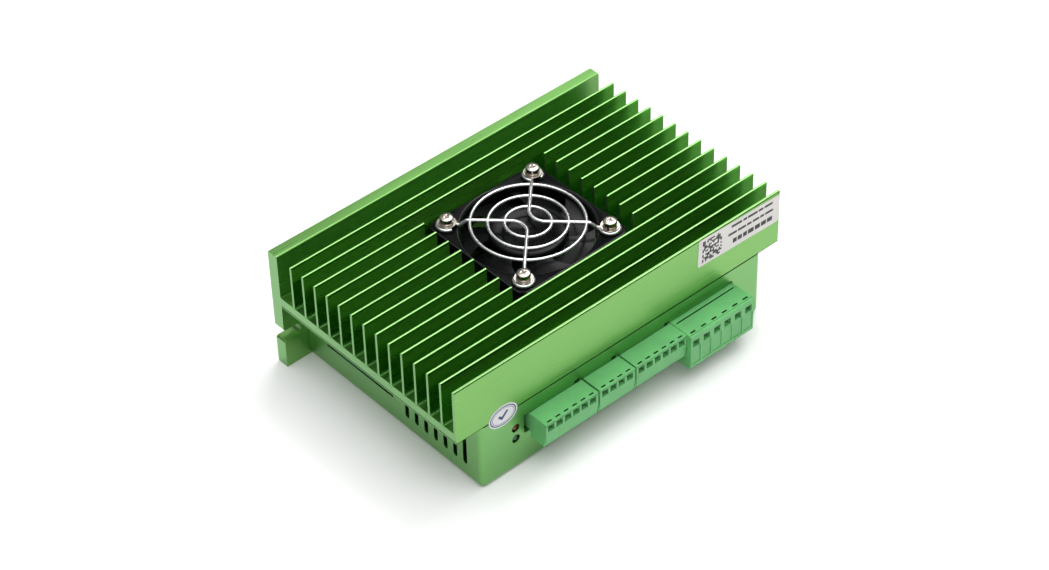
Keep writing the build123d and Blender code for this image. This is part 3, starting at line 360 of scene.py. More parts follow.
def bevel(obj, width_mm, segments=2, angle=38, harden=True):
    m = obj.modifiers.new("bevel", "BEVEL")
    m.width = width_mm * MM
    m.segments = segments
    m.limit_method = "ANGLE"
    m.angle_limit = math.radians(angle)
    m.harden_normals = False
    m.miter_outer = "MITER_SHARP"
    m.use_clamp_overlap = True
    apply_mods(obj)


def weigh(obj):
    """Area-weighted normals, so flat faces stay flat beside their rounded edges."""
    m = obj.modifiers.new("weigh", "WEIGHTED_NORMAL")
    m.mode = "FACE_AREA"
    m.weight = 90
    m.keep_sharp = True
    apply_mods(obj)


def cad_mesh(node, dissolve=0.6):
    """A cleaned copy of a CAD node's mesh, as n-gons."""
    me = frame["nodes"][node].data.copy()
    bm = bmesh.new()
    bm.from_mesh(me)
    bmesh.ops.remove_doubles(bm, verts=bm.verts, dist=1e-6)
    bmesh.ops.dissolve_limit(bm, angle_limit=math.radians(dissolve), verts=bm.verts, edges=bm.edges)
    bm.to_mesh(me)
    bm.free()
    return me


def refine(node, name, mats, width=0.15, segments=2, angle=38, sharp=30):
    obj = link(name, cad_mesh(node), mats, NODE_BODY[node], node)
    bevel(obj, width, segments, angle)
    smooth(obj, sharp)
    weigh(obj)
    return obj


def bm_prism(bm, pts, a, b, axis="y"):
    """Closed prism: pts is a loop of 2D points, swept from a to b along the axis (mm, wall-corner numbers)."""
    def at(p, t):
        if axis == "y":
            return V(p[0], t, p[1])
        if axis == "x":
            return V(t, p[0], p[1])
        return V(p[0], p[1], t)
    lo = [bm.verts.new(at(p, a)) for p in pts]
    hi = [bm.verts.new(at(p, b)) for p in pts]
    n = len(pts)
    faces = [bm.faces.new(lo), bm.faces.new(list(reversed(hi)))]
    for i in range(n):
        j = (i + 1) % n
        faces.append(bm.faces.new((lo[j], lo[i], hi[i], hi[j])))
    return faces


def from_bm(bm, name):
    bmesh.ops.recalc_face_normals(bm, faces=bm.faces)
    me = bpy.data.meshes.new(name)
    bm.to_mesh(me)
    bm.free()
    return me


def cut(obj, cutters):
    """Subtract a mesh of closed cutter shells from obj."""
    c = bpy.data.objects.new("cutter", cutters)
    bpy.context.scene.collection.objects.link(c)
    m = obj.modifiers.new("cut", "BOOLEAN")
    m.operation = "DIFFERENCE"
    m.solver = "EXACT"
    m.use_self = True
    m.object = c
    apply_mods(obj)
    bpy.data.objects.remove(c)


def ring_pts(cx, cy, r, n=48):
    return [(cx + r * math.cos(2 * math.pi * i / n), cy + r * math.sin(2 * math.pi * i / n)) for i in range(n)]


# ---------------------------------------------------------------- heatsink
LENGTH, WIDTH, HEIGHT = 150.0, 97.5, 51.0
BASE_Z0, BASE_Z1, WALL, SIDE = 28.2, 32.4, 5.0, 1.2
FIN_X = [12.5 + 6.5 * i for i in range(13)]
PY0, PY1 = 48.4, 104.3
FAN = (48.25, 76.35)
CORNERS = [(FAN[0] + a * 20, FAN[1] + b * 20) for a in (-1, 1) for b in (-1, 1)]


def grooved(z0, z1, x, out, pitch=0.72, depth=0.17, width=0.36):
    """Points up one flank: narrow grooves that run along the extrusion, with flat lands between."""
    n = max(1, int((z1 - z0) / pitch))
    step = (z1 - z0) / n
    pts = []
    for i in range(n):
        z = z0 + step * i
        pts += [(x, z), (x, z + step - width), (x - out * depth, z + step - width / 2)]
    pts.append((x, z1))
    return pts


def fin_profile(x):
    """Fin section: fillets at the root, grooved flanks, a round tip."""
    h = 0.55
    right = [(x + h + 0.1, BASE_Z1 - 0.3), (x + h + 0.1, BASE_Z1), (x + h + 0.03, BASE_Z1 + 0.03), (x + h, BASE_Z1 + 0.1)]
    right += grooved(BASE_Z1 + 0.9, HEIGHT - 1.0, x + h, 1)
    right += [(x + 0.13 + 0.42 * math.cos(a), HEIGHT - 0.42 + 0.42 * math.sin(a)) for a in [math.pi / 2 * k / 5 for k in range(6)]]
    left = [(2 * x - a, b) for a, b in reversed(right)]
    return right + left


def build_heatsink():
    bm = bmesh.new()
    # wall, base and side as one closed section
    # the point at BASE_Z0 + 0.25 on the outer face splits off the strip that takes painted shade
    sec = [(0.0, 0.0), (5.0, 0.0), (5.0, BASE_Z0), (WIDTH, BASE_Z0), (WIDTH, BASE_Z0 + 0.25), (WIDTH, HEIGHT), (WIDTH - SIDE, HEIGHT),
           (WIDTH - SIDE, BASE_Z1), (WALL, BASE_Z1)]
    sec += grooved(BASE_Z1 + 0.8, HEIGHT - 1.2, WALL, 1)
    sec += [(WALL, HEIGHT - 0.4), (WALL - 0.4, HEIGHT), (0.4, HEIGHT), (0.0, HEIGHT - 0.4)]
    bm_prism(bm, sec, 0, LENGTH)
    body = link("heatsink_body", from_bm(bm, "heatsink_body"), ["anodised", "sawn_anodised_and_painted_root_highlight", "anodised_painted_highlight", "anodised_painted_shade"], "housing", "heatsink")
    # open mounting slots, screw holes and posts
    cb = bmesh.new()
    r, z = 2.5, 14.3
    for y_in, y_out in ((5.1, -2.0), (144.9, 152.0)):
        s = 1 if y_in < y_out else -1
        arc = [(y_in - s * r * math.sin(math.pi * i / 20 + 0) * 1.0, z - r * math.cos(math.pi * i / 20)) for i in range(21)]
        # mouth rounded outwards by 1 mm
        ye = 150.0 if s > 0 else 0.0
        lipl = [(ye - s * (1.0 - math.sin(t)), z - r - (1.0 - math.cos(t))) for t in [math.pi / 2 * k / 6 for k in range(7)]]
        liph = [(a, 2 * z - b) for a, b in reversed(lipl)]
        pts = lipl[::-1]
        loop = [(ye + s * 2, z - r - 1.0)] + pts + arc + liph[::-1] + [(ye + s * 2, z + r + 1.0)]
        bm_prism(cb, loop, -1, 6, "x")
    for cx, cy in CORNERS:
        bm_prism(cb, ring_pts(cx, cy, 1.55, 24), 27, 33.5, "z")
    bm_prism(cb, ring_pts(FAN[0] + 12, PY1 - 1.6, 1.3, 20), 27, 33.5, "z")
    for px, py in ((24.0, 24.0), (24.0, 131.0), (88.0, 17.8), (88.0, 133.0)):
        bm_prism(cb, ring_pts(px, py, 1.55, 24), 27, 31.6, "z")
    for y in (22.0, 48.5, 75.0, 101.5, 128.0):
        bm_prism(cb, ring_pts(y, 14.0, 1.55, 24), 1.6, 6, "x")
    # fine groove just above the lower edge of both sawn ends
    for y0, y1 in ((-1.0, 0.3), (LENGTH - 0.3, LENGTH + 1.0)):
        bm_prism(cb, [(WALL + 0.3, 28.62), (WIDTH + 1, 28.62), (WIDTH + 1, 29.0), (WALL + 0.3, 29.0)], y0, y1)
    cut(body, from_bm(cb, "cutters"))
    def low_end(e):
        return all(abs(v.co.z - BASE_Z0 * MM) < 1e-5 for v in e.verts) and abs(abs(e.verts[0].co.y) - 0.075) < 1e-5 \
            and abs(e.verts[0].co.y - e.verts[1].co.y) < 1e-5

    def crisp(e):
        return all(abs(v.co.z - BASE_Z0 * MM) < 1e-5 and v.co.x > V(97, 0, 0).x for v in e.verts)

    def groove_edge(e):
        return all(28.5 * MM < v.co.z < 29.1 * MM for v in e.verts) and abs(e.verts[0].co.y) > 0.0745

    def rim(e):
        return all(abs(v.co.z - HEIGHT * MM) < 1e-5 and abs(v.co.x - V(WIDTH, 0, 0).x) < 1e-5 for v in e.verts)

    bevel_edges(body, 0.12, lambda e: not low_end(e) and not crisp(e) and not groove_edge(e) and not rim(e), 2)
    bevel_edges(body, 0.26, rim, 1)
    mark_ends(body)
    for p in body.data.polygons:
        # thin strip on the sawn ends just under the base: painted highlight
        if abs(p.normal.y) > 0.9 and BASE_Z0 * MM < p.center.z < 28.61 * MM:
            p.material_index = 2
        # faces of the fine groove on the sawn ends: painted shade
        elif abs(p.center.y) > 0.0746 and 28.61 * MM < p.center.z < 29.01 * MM and (abs(p.center.y) < 0.0749 or abs(p.normal.z) > 0.9):
            p.material_index = 3
        # bottom 0.25 mm strip of the side wall's outer face: painted shade along the joint with the cover
        elif p.normal.x > 0.9 and p.center.x > V(WIDTH - 0.1, 0, 0).x and p.center.z < (BASE_Z0 + 0.25) * MM:
            p.material_index = 3
    # outer top edge of the side wall: top and inward faces take painted highlight, the outward bevel takes painted
    # shade
    for p in body.data.polygons:
        if p.center.z > (HEIGHT - 0.4) * MM and p.center.x > V(96, 0, 0).x and abs(p.normal.y) < 0.5:
            if p.normal.z > 0.85 or (p.normal.z > 0.2 and p.normal.x < 0):
                p.material_index = 2
            elif p.normal.z > 0.15 and p.normal.x > 0.3:
                p.material_index = 3
    smooth(body, 30)
    weigh(body)
    # fins as closed shells standing in the base
    bm = bmesh.new()
    for i, x in enumerate(FIN_X):
        spans = [(0, LENGTH)] if not 2 <= i <= 9 else [(0, PY0), (PY1, LENGTH)]
        for a, b in spans:
            bm_prism(bm, fin_profile(x), a, b)
    fins = link("heatsink_fins", from_bm(bm, "heatsink_fins"), ["anodised_fin", "sawn_anodised_and_painted_root_highlight", "anodised_painted_highlight"], "housing", slot="heatsink_anodised")
    bevel_edges(fins, 0.12, lambda e: any(abs(f.normal.y) > 0.9 for f in e.link_faces) and max(v.co.z for v in e.verts) > (BASE_Z1 + 0.6) * MM, 1)
    mark_ends(fins)
    for p in fins.data.polygons:
        # upward faces of the fin tips: painted highlight
        if p.normal.z > 0.85 and p.center.z > (HEIGHT - 0.45) * MM:
            p.material_index = 2
        # lowest part of each fin flank and its root step take the paler sawn finish: painted highlight line along the
        # roots
        elif abs(p.normal.y) < 0.5 and p.center.z < (BASE_Z1 + 0.85) * MM:
            p.material_index = 1
    smooth(fins, 25)
    return body, fins


build_heatsink()

# ------------------------------------------------------------------- cover
cover = refine("bottom_cover", "bottom_cover_sheet", ["anodised_sheet", "anodised_painted_shade"], 0.08, 2, 40)
# rebate under the side wall, its ledge and the walls of the relief notches: painted shade
for p in cover.data.polygons:
    if p.center.x > V(96.8, 0, 0).x and p.center.z > 27.87 * MM and p.center.x < V(97.45, 0, 0).x:
        p.material_index = 1
    elif abs(p.center.z - 27.85 * MM) < 0.02 * MM and p.normal.z > 0.9:
        p.material_index = 1
    elif p.center.x > V(96.0, 0, 0).x and 22.2 * MM < p.center.z < 23.2 * MM and abs(p.normal.x) < 0.5:
        p.material_index = 1

# ------------------------------------------------------------------- plugs
def paint_recess_shade(obj, boxes):
    """Faces inside these x, z ranges (mm) take painted shade: a near-black green for the shade in the moulded
    recesses.
    """
    for p in obj.data.polygons:
        x, z = p.center.x / MM + 54.0, p.center.z / MM
        if any(x0 < x < x1 and z0 < z < z1 for x0, x1, z0, z1 in boxes):
            p.material_index = 1


for p in ("signal", "alarm", "encoder", "power"):
    block = refine("plug_" + p, "plug_%s_block" % p, ["terminal", "terminal_painted_shade"], 0.07, 2, 40)
    shell = refine("header_" + p, "header_%s_shell" % p, ["terminal", "terminal_painted_shade"], 0.08, 2, 40)
    if p == "power":
        paint_recess_shade(block, [(105.7, 106.6, 20.7, 21.72), (99.5, 99.75, 20.4, 21.7)])
        paint_recess_shade(shell, [(99.0, 99.3, 20.2, 21.7)])
    else:
        paint_recess_shade(block, [(104.6, 105.35, 21.0, 21.72)])
        paint_recess_shade(shell, [(94.02, 97.25, 20.85, 21.93)])


# ------------------------------------------------------------------- fan
def revolve(bm, prof, cx, cy, n=96, close=False):
    """Lathe a profile of (r, z) points round an upright axis. close=True closes the profile loop."""
    rings = []
    for i in range(n):
        a = 2 * math.pi * i / n
        rings.append([bm.verts.new(V(cx + r * math.cos(a), cy + r * math.sin(a), z)) for r, z in prof])
    m = len(prof)
    for i in range(n):
        A, B = rings[i], rings[(i + 1) % n]
        for j in range(m if close else m - 1):
            k = (j + 1) % m
            try:
                bm.faces.new((A[j], A[k], B[k], B[j]))
            except ValueError:
                pass


def tube(path, r, n=16, closed=False):
    """Mesh tube along a list of Vectors (metres); r in mm."""
    bm = bmesh.new()
    pts = [Vector(p) for p in path]
    N = len(pts)
    tang = []
    for i in range(N):
        if closed:
            t = pts[(i + 1) % N] - pts[i - 1]
        else:
            t = pts[min(i + 1, N - 1)] - pts[max(i - 1, 0)]
        tang.append(t.normalized())
    up = Vector((0, 0, 1))
    if abs(tang[0].dot(up)) > 0.95:
        up = Vector((1, 0, 0))
    nrm = (up - tang[0] * up.dot(tang[0])).normalized()
    rings = []
    for i in range(N):
        if i:
            q = tang[i - 1].rotation_difference(tang[i])
            nrm = q @ nrm
            nrm = (nrm - tang[i] * nrm.dot(tang[i])).normalized()
        bi = tang[i].cross(nrm)
        rings.append([bm.verts.new(pts[i] + (nrm * math.cos(2 * math.pi * k / n) + bi * math.sin(2 * math.pi * k / n)) * r * MM) for k in range(n)])
    for i in range(N if closed else N - 1):
        A, B = rings[i], rings[(i + 1) % N]
        for k in range(n):
            bm.faces.new((A[k], A[(k + 1) % n], B[(k + 1) % n], B[k]))
    if not closed:
        for ring, flip in ((rings[0], True), (rings[-1], False)):
            c = bm.faces.new(ring if not flip else list(reversed(ring)))
            out = bmesh.ops.inset_region(bm, faces=[c], thickness=r * MM * 0.3)
            s = -tang[0] if flip else tang[-1]
            for v in c.verts:
                v.co += s * r * MM * 0.25
    return bm


def join_bm(dst, src):
    me = bpy.data.meshes.new("tmp")
    src.to_mesh(me)
    src.free()
    dst.from_mesh(me)
    bpy.data.meshes.remove(me)


FAN_Z0, FAN_Z1 = 36.6, 46.6


def build_guard():
    bm = bmesh.new()
    rz, az = 49.3, 49.5
    for r in (20.2, 14.05, 8.2):
        n = 120
        join_bm(bm, tube([V(FAN[0] + r * math.cos(2 * math.pi * i / n), FAN[1] + r * math.sin(2 * math.pi * i / n), rz) for i in range(n)], 0.6, 14, True))
    ez = FAN_Z1 + 0.7
    for side in (1, -1):
        # centre line in the vertical plane of each leg, then an eye round the screw
        def leg(d, z):
            return V(FAN[0] + d[0], FAN[1] + d[1], z)
        k = 2 ** -0.5
        pts = []
        for sx in (-1, 1):
            u = Vector((sx * k, side * k))
            c = u * 28.284
            eye = []
            # the wire wraps round the screw clockwise or anticlockwise and stops short of itself
            turn = 300
            steps = 30
            a0 = math.atan2(-u.y, -u.x)
            sgn = 1 if sx * side > 0 else -1
            for i in range(steps + 1):
                a = a0 + sgn * math.radians(turn) * (1 - i / steps)
                eye.append(V(FAN[0] + c.x + 3.35 * math.cos(a), FAN[1] + c.y + 3.35 * math.sin(a), ez))
            arm = []
            for r_, z_ in ((24.4, ez + 0.01), (24.0, ez + 0.08), (23.6, ez + 0.25), (22.9, ez + 0.75), (22.2, ez + 1.35), (21.6, ez + 1.85), (21.0, ez + 2.12), (20.3, az), (17.0, az), (12.0, az), (8.0, az), (5.2, az)):
                arm.append(V(FAN[0] + u.x * r_, FAN[1] + u.y * r_, z_))
            seq = eye + arm
            pts.append(seq)
        # rounded bend past the middle
        tip = Vector((0, side * 2.9))
        a = Vector((-k, side * k)) * 5.2
        b = Vector((k, side * k)) * 5.2
        bend = []
        for i in range(1, 12):
            t = i / 12
            p = a * (1 - t) ** 2 + Vector((0, side * 1.35)) * 2 * t * (1 - t) + b * t ** 2
            bend.append(V(FAN[0] + p.x, FAN[1] + p.y, az))
        path = pts[0] + bend + list(reversed(pts[1]))
        join_bm(bm, tube(path, 0.7, 14))
    obj = link("finger_guard_wire", from_bm(bm, "finger_guard_wire"), "chrome", "housing", "finger_guard")
    smooth(obj, 60)
    return obj


build_guard()


def build_screws():
    # pan head with a cross recess
    bm = bmesh.new()
    z = FAN_Z1 + 2.6
    for i, (cx, cy) in enumerate(CORNERS):
        prof = [(0.001, z - 20), (1.2, z - 20), (1.5, z - 19.6), (1.5, z - 0.001), (2.35, z), (2.5, z + 0.15), (2.5, z + 1.2), (2.45, z + 1.45), (2.32, z + 1.63), (2.08, z + 1.74), (1.2, z + 1.8), (0.001, z + 1.8)]
        revolve(bm, prof, cx, cy, 48)
    bmesh.ops.remove_doubles(bm, verts=bm.verts, dist=4e-6)
    obj = link("fan_screw_set", from_bm(bm, "fan_screw_set"), "nickel", "housing", "fan_screws")
    cb = bmesh.new()
    for i, (cx, cy) in enumerate(CORNERS):
        a0 = (0.35, 1.05, -0.25, 0.7)[i]
        for q in (0, math.pi / 2):
            c, s = math.cos(a0 + q), math.sin(a0 + q)
            for zz0, zz1, L, W in ((z + 0.75, z + 2.2, 1.35, 0.33),):
                loop = [(cx + c * u - s * v, cy + s * u + c * v) for u, v in ((-L, -W), (L, -W), (L, W), (-L, W))]
                lo = [cb.verts.new(V(cx + (x - cx) * 0.45, cy + (y - cy) * 0.45, zz0)) for x, y in loop]
                hi = [cb.verts.new(V(x, y, zz1 + (0.0 if q == 0 else 0.01))) for x, y in loop]
                cb.faces.new(lo)
                cb.faces.new(list(reversed(hi)))
                for k in range(4):
                    cb.faces.new((lo[(k + 1) % 4], lo[k], hi[k], hi[(k + 1) % 4]))
    cut(obj, from_bm(cb, "cross"))
    bevel(obj, 0.07, 2, 50)
    smooth(obj, 35)
    # spring washers: a split ring, both ends level
    bm = bmesh.new()
    zw = FAN_Z1 + 1.9
    for i, (cx, cy) in enumerate(CORNERS):
        a0 = (0.9, 2.6, 4.1, 5.3)[i]
        n = 60
        rings = []
        for k in range(n + 1):
            t = k / n
            a = a0 + math.radians(9) + t * math.radians(342)
            lift = 0.0
            r0, r1 = 1.62, 2.75
            z0, z1 = zw + lift, zw + 0.68 + lift
            loop = [(r0, z0 + 0.06), (r0 + 0.06, z0), (r1 - 0.08, z0), (r1, z0 + 0.08), (r1, z1 - 0.08), (r1 - 0.08, z1), (r0 + 0.06, z1), (r0, z1 - 0.06)]
            rings.append([bm.verts.new(V(cx + r * math.cos(a), cy + r * math.sin(a), zz)) for r, zz in loop])
        for A, B in zip(rings, rings[1:]):
            for k in range(8):
                bm.faces.new((A[k], A[(k + 1) % 8], B[(k + 1) % 8], B[k]))
        bm.faces.new(list(reversed(rings[0])))
        bm.faces.new(rings[-1])
    obj2 = link("fan_spring_washer_set", from_bm(bm, "fan_spring_washer_set"), "nickel", "housing", "fan_spring_washers")
    smooth(obj2, 35)
    bm = bmesh.new()
    zf = FAN_Z1 + 1.4
    for cx, cy in CORNERS:
        prof = [(1.62, zf + 0.06), (1.68, zf), (3.35, zf), (3.45, zf + 0.1), (3.45, zf + 0.4), (3.35, zf + 0.5), (1.68, zf + 0.5), (1.62, zf + 0.44)]
        revolve(bm, prof, cx, cy, 64, close=True)
    obj3 = link("fan_flat_washer_set", from_bm(bm, "fan_flat_washer_set"), "nickel", "housing", "fan_flat_washers")
    smooth(obj3, 35)


build_screws()


def plate(name, outer, holes, z0, z1, rim=0.25, res=2):
    """Flat plate with holes and rounded rims, from a filled 2D curve. Loops are lists of (x, y), mm."""
    cu = bpy.data.curves.new(name, "CURVE")
    cu.dimensions = "2D"
    cu.fill_mode = "BOTH"
    cu.extrude = ((z1 - z0) / 2 - rim) * MM
    cu.bevel_depth = rim * MM
    cu.bevel_resolution = res
    cu.offset = -rim * MM
    for loop in [outer] + holes:
        sp = cu.splines.new("POLY")
        sp.points.add(len(loop) - 1)
        for p, (x, y) in zip(sp.points, loop):
            p.co = (*V(x, y, 0)[:2], 0, 1)
        sp.use_cyclic_u = True
    ob = bpy.data.objects.new(name, cu)
    bpy.context.scene.collection.objects.link(ob)
    bpy.context.view_layer.update()
    dg = bpy.context.evaluated_depsgraph_get()
    me = bpy.data.meshes.new_from_object(ob.evaluated_get(dg))
    bpy.data.objects.remove(ob)
    me.transform(Matrix.Translation((0, 0, (z0 + z1) / 2 * MM)))
    bm = bmesh.new()
    bm.from_mesh(me)
    bpy.data.meshes.remove(me)
    bmesh.ops.remove_doubles(bm, verts=bm.verts, dist=1e-6)
    return bm


def rounded_square(cx, cy, half, r, n=8):
    pts = []
    for qx, qy, a0 in ((1, 1, 0), (-1, 1, 90), (-1, -1, 180), (1, -1, 270)):
        for i in range(n + 1):
            a = math.radians(a0 + 90 * i / n)
            pts.append((cx + qx * (half - r) + r * math.cos(a), cy + qy * (half - r) + r * math.sin(a)))
    return pts


def build_fan_frame():
    bm = bmesh.new()
    holes = [ring_pts(cx, cy, 2.15, 32)[::-1] for cx, cy in CORNERS]
    sq = rounded_square(FAN[0], FAN[1], 24.98, 3.2)
    join_bm(bm, plate("flange_top", sq, [ring_pts(*FAN, 24.35, 120)[::-1]] + holes, FAN_Z1 - 2.3, FAN_Z1, 0.25))
    join_bm(bm, plate("flange_low", sq, [ring_pts(*FAN, 23.9, 120)[::-1]] + holes, FAN_Z0, FAN_Z0 + 2.3, 0.25))
    # venturi wall with a flared lip at both ends
    prof = [(24.9, FAN_Z0 + 0.3), (24.9, FAN_Z1 - 0.3), (24.75, FAN_Z1 - 0.02), (24.5, FAN_Z1 - 0.05), (24.25, FAN_Z1 - 0.45), (24.0, FAN_Z1 - 1.1), (23.86, FAN_Z1 - 2.0),
            (23.82, FAN_Z1 - 3.2), (23.82, FAN_Z0 + 2.0), (23.9, FAN_Z0 + 1.0), (24.1, FAN_Z0 + 0.3), (24.5, FAN_Z0 + 0.02)]
    revolve(bm, prof, *FAN, 144, close=True)
    # posts between the flanges
    for cx, cy in CORNERS:
        prof = [(2.15, FAN_Z0 + 1), (3.6, FAN_Z0 + 1), (3.6, FAN_Z1 - 1), (2.15, FAN_Z1 - 1)]
        revolve(bm, prof, cx, cy, 40, close=True)
    # floor plate, struts, bearing tube
    prof = [(2.5, FAN_Z0 + 0.02), (12.9, FAN_Z0 + 0.02), (13.2, FAN_Z0 + 0.3), (13.2, FAN_Z0 + 1.0), (13.0, FAN_Z0 + 1.2), (3.6, FAN_Z0 + 1.2), (3.6, FAN_Z0 + 7.0), (3.4, FAN_Z0 + 7.2), (2.5, FAN_Z0 + 7.2)]
    revolve(bm, prof, *FAN, 96, close=True)
    for ang in (45, 135, 225, 315):
        c, s = math.cos(math.radians(ang)), math.sin(math.radians(ang))
        loop = [(FAN[0] + c * u - s * v, FAN[1] + s * u + c * v) for u, v in ((12.6, -1.15), (24.2, -1.15), (24.2, 1.15), (12.6, 1.15))]
        bm_prism(bm, loop, FAN_Z0 + 0.05, FAN_Z0 + 1.55, "z")
    obj = link("fan_frame_moulding", from_bm(bm, "fan_frame_moulding"), ["fan", "fan_painted_rim_highlight"], "housing", "fan_frame")
    centre = V(FAN[0], FAN[1], 0)
    for p in obj.data.polygons:
        d = (p.center - centre) / MM
        r, z = math.hypot(d.x, d.y), p.center.z / MM
        lip = 24.0 < r < 24.9 and z > FAN_Z1 - 0.8 and 0.15 < p.normal.z < 0.98
        arris = max(abs(d.x), abs(d.y)) > 24.5 and z > FAN_Z1 - 0.35 and 0.25 < p.normal.z < 0.97
        # bore lip and outer top arris: painted highlight
        if lip or arris:
            p.material_index = 1
    smooth(obj, 35)
    return obj


build_fan_frame()


def build_rotor():
    bm = bmesh.new()
    zt = FAN_Z0 + 9.6
    prof = [(1.0, FAN_Z0 + 7.4), (2.4, FAN_Z0 + 7.4), (2.4, FAN_Z0 + 8.4), (13.0, FAN_Z0 + 8.4), (13.0, FAN_Z0 + 2.3), (13.2, FAN_Z0 + 2.2), (13.8, FAN_Z0 + 2.2), (14.0, FAN_Z0 + 2.4)]
    prof += [(14.0, zt - 1.0)] + [(13.0 + math.cos(t), zt - 1.0 + math.sin(t)) for t in [math.pi / 2 * k / 6 for k in range(1, 7)]]
    prof += [(9.0, zt - 0.01), (8.8, zt - 0.08), (1.6, zt - 0.08), (1.2, zt - 0.35), (0.001, zt - 0.42), (0.001, FAN_Z0 + 8.95), (1.0, FAN_Z0 + 8.9)]
    revolve(bm, prof, *FAN, 96, close=True)
    bmesh.ops.remove_doubles(bm, verts=bm.verts, dist=3e-6)
    # seven swept blades, thick at the root, thin at the tip
    NB, NR, NC = 7, 12, 14
    for k in range(NB):
        base = 2 * math.pi * k / NB + math.radians(11)
        top, bot = [], []
        for i in range(NR + 1):
            t = i / NR
            r = 13.6 + (23.15 - 13.6) * t
            sweep = math.radians(16) * t ** 1.4
            half_ang = (0.47 - 0.02 * t)              # half chord angle, rad
            rise0 = 2.7 - 0.35 * t                     # half height
            thick = 0.95 - 0.45 * t
            rt, rb = [], []
            for j in range(NC + 1):
                u = -1 + 2 * j / NC
                a = base + sweep + u * half_ang
                camber = 0.9 * (1 - u * u)
                z = FAN_Z0 + 5.55 + u * rise0 + camber - 0.5
                th = thick * (1 - 0.75 * abs(u) ** 3) / 2
                rt.append(bm.verts.new(V(FAN[0] + r * math.cos(a), FAN[1] + r * math.sin(a), z + th)))
                rb.append(bm.verts.new(V(FAN[0] + r * math.cos(a), FAN[1] + r * math.sin(a), z - th)))
            top.append(rt)
            bot.append(rb)
        for i in range(NR):
            for j in range(NC):
                bm.faces.new((top[i][j], top[i + 1][j], top[i + 1][j + 1], top[i][j + 1]))
                bm.faces.new((bot[i][j], bot[i][j + 1], bot[i + 1][j + 1], bot[i + 1][j]))
            bm.faces.new((top[i][0], bot[i][0], bot[i + 1][0], top[i + 1][0]))
            bm.faces.new((top[i][NC], top[i + 1][NC], bot[i + 1][NC], bot[i][NC]))
        for j in range(NC):
            bm.faces.new((top[0][j], top[0][j + 1], bot[0][j + 1], bot[0][j]))
            bm.faces.new((top[NR][j], bot[NR][j], bot[NR][j + 1], top[NR][j + 1]))
    obj = link("fan_rotor_moulding", from_bm(bm, "fan_rotor_moulding"), "fan_gloss", "fan_impeller", "fan_rotor")
    smooth(obj, 40)
    return obj


build_rotor()


# --------------------------------------------------------------- stickers
def flat_on_side(bm, pts, x, depth, angle=0.0, about=(0, 0)):
    c, s = math.cos(math.radians(angle)), math.sin(math.radians(angle))
    loop = [(about[0] + (y - about[0]) * c - (z - about[1]) * s, about[1] + (y - about[0]) * s + (z - about[1]) * c) for y, z in pts]
    bm_prism(bm, loop, x, x + depth, "x")


def rounded_rect(y0, y1, z0, z1, r, n=5):
    pts = []
    for cy, cz, a0 in ((y1 - r, z1 - r, 0), (y0 + r, z1 - r, 90), (y0 + r, z0 + r, 180), (y1 - r, z0 + r, 270)):
        for i in range(n + 1):
            a = math.radians(a0 + 90 * i / n)
            pts.append((cy + r * math.cos(a), cz + r * math.sin(a)))
    return pts


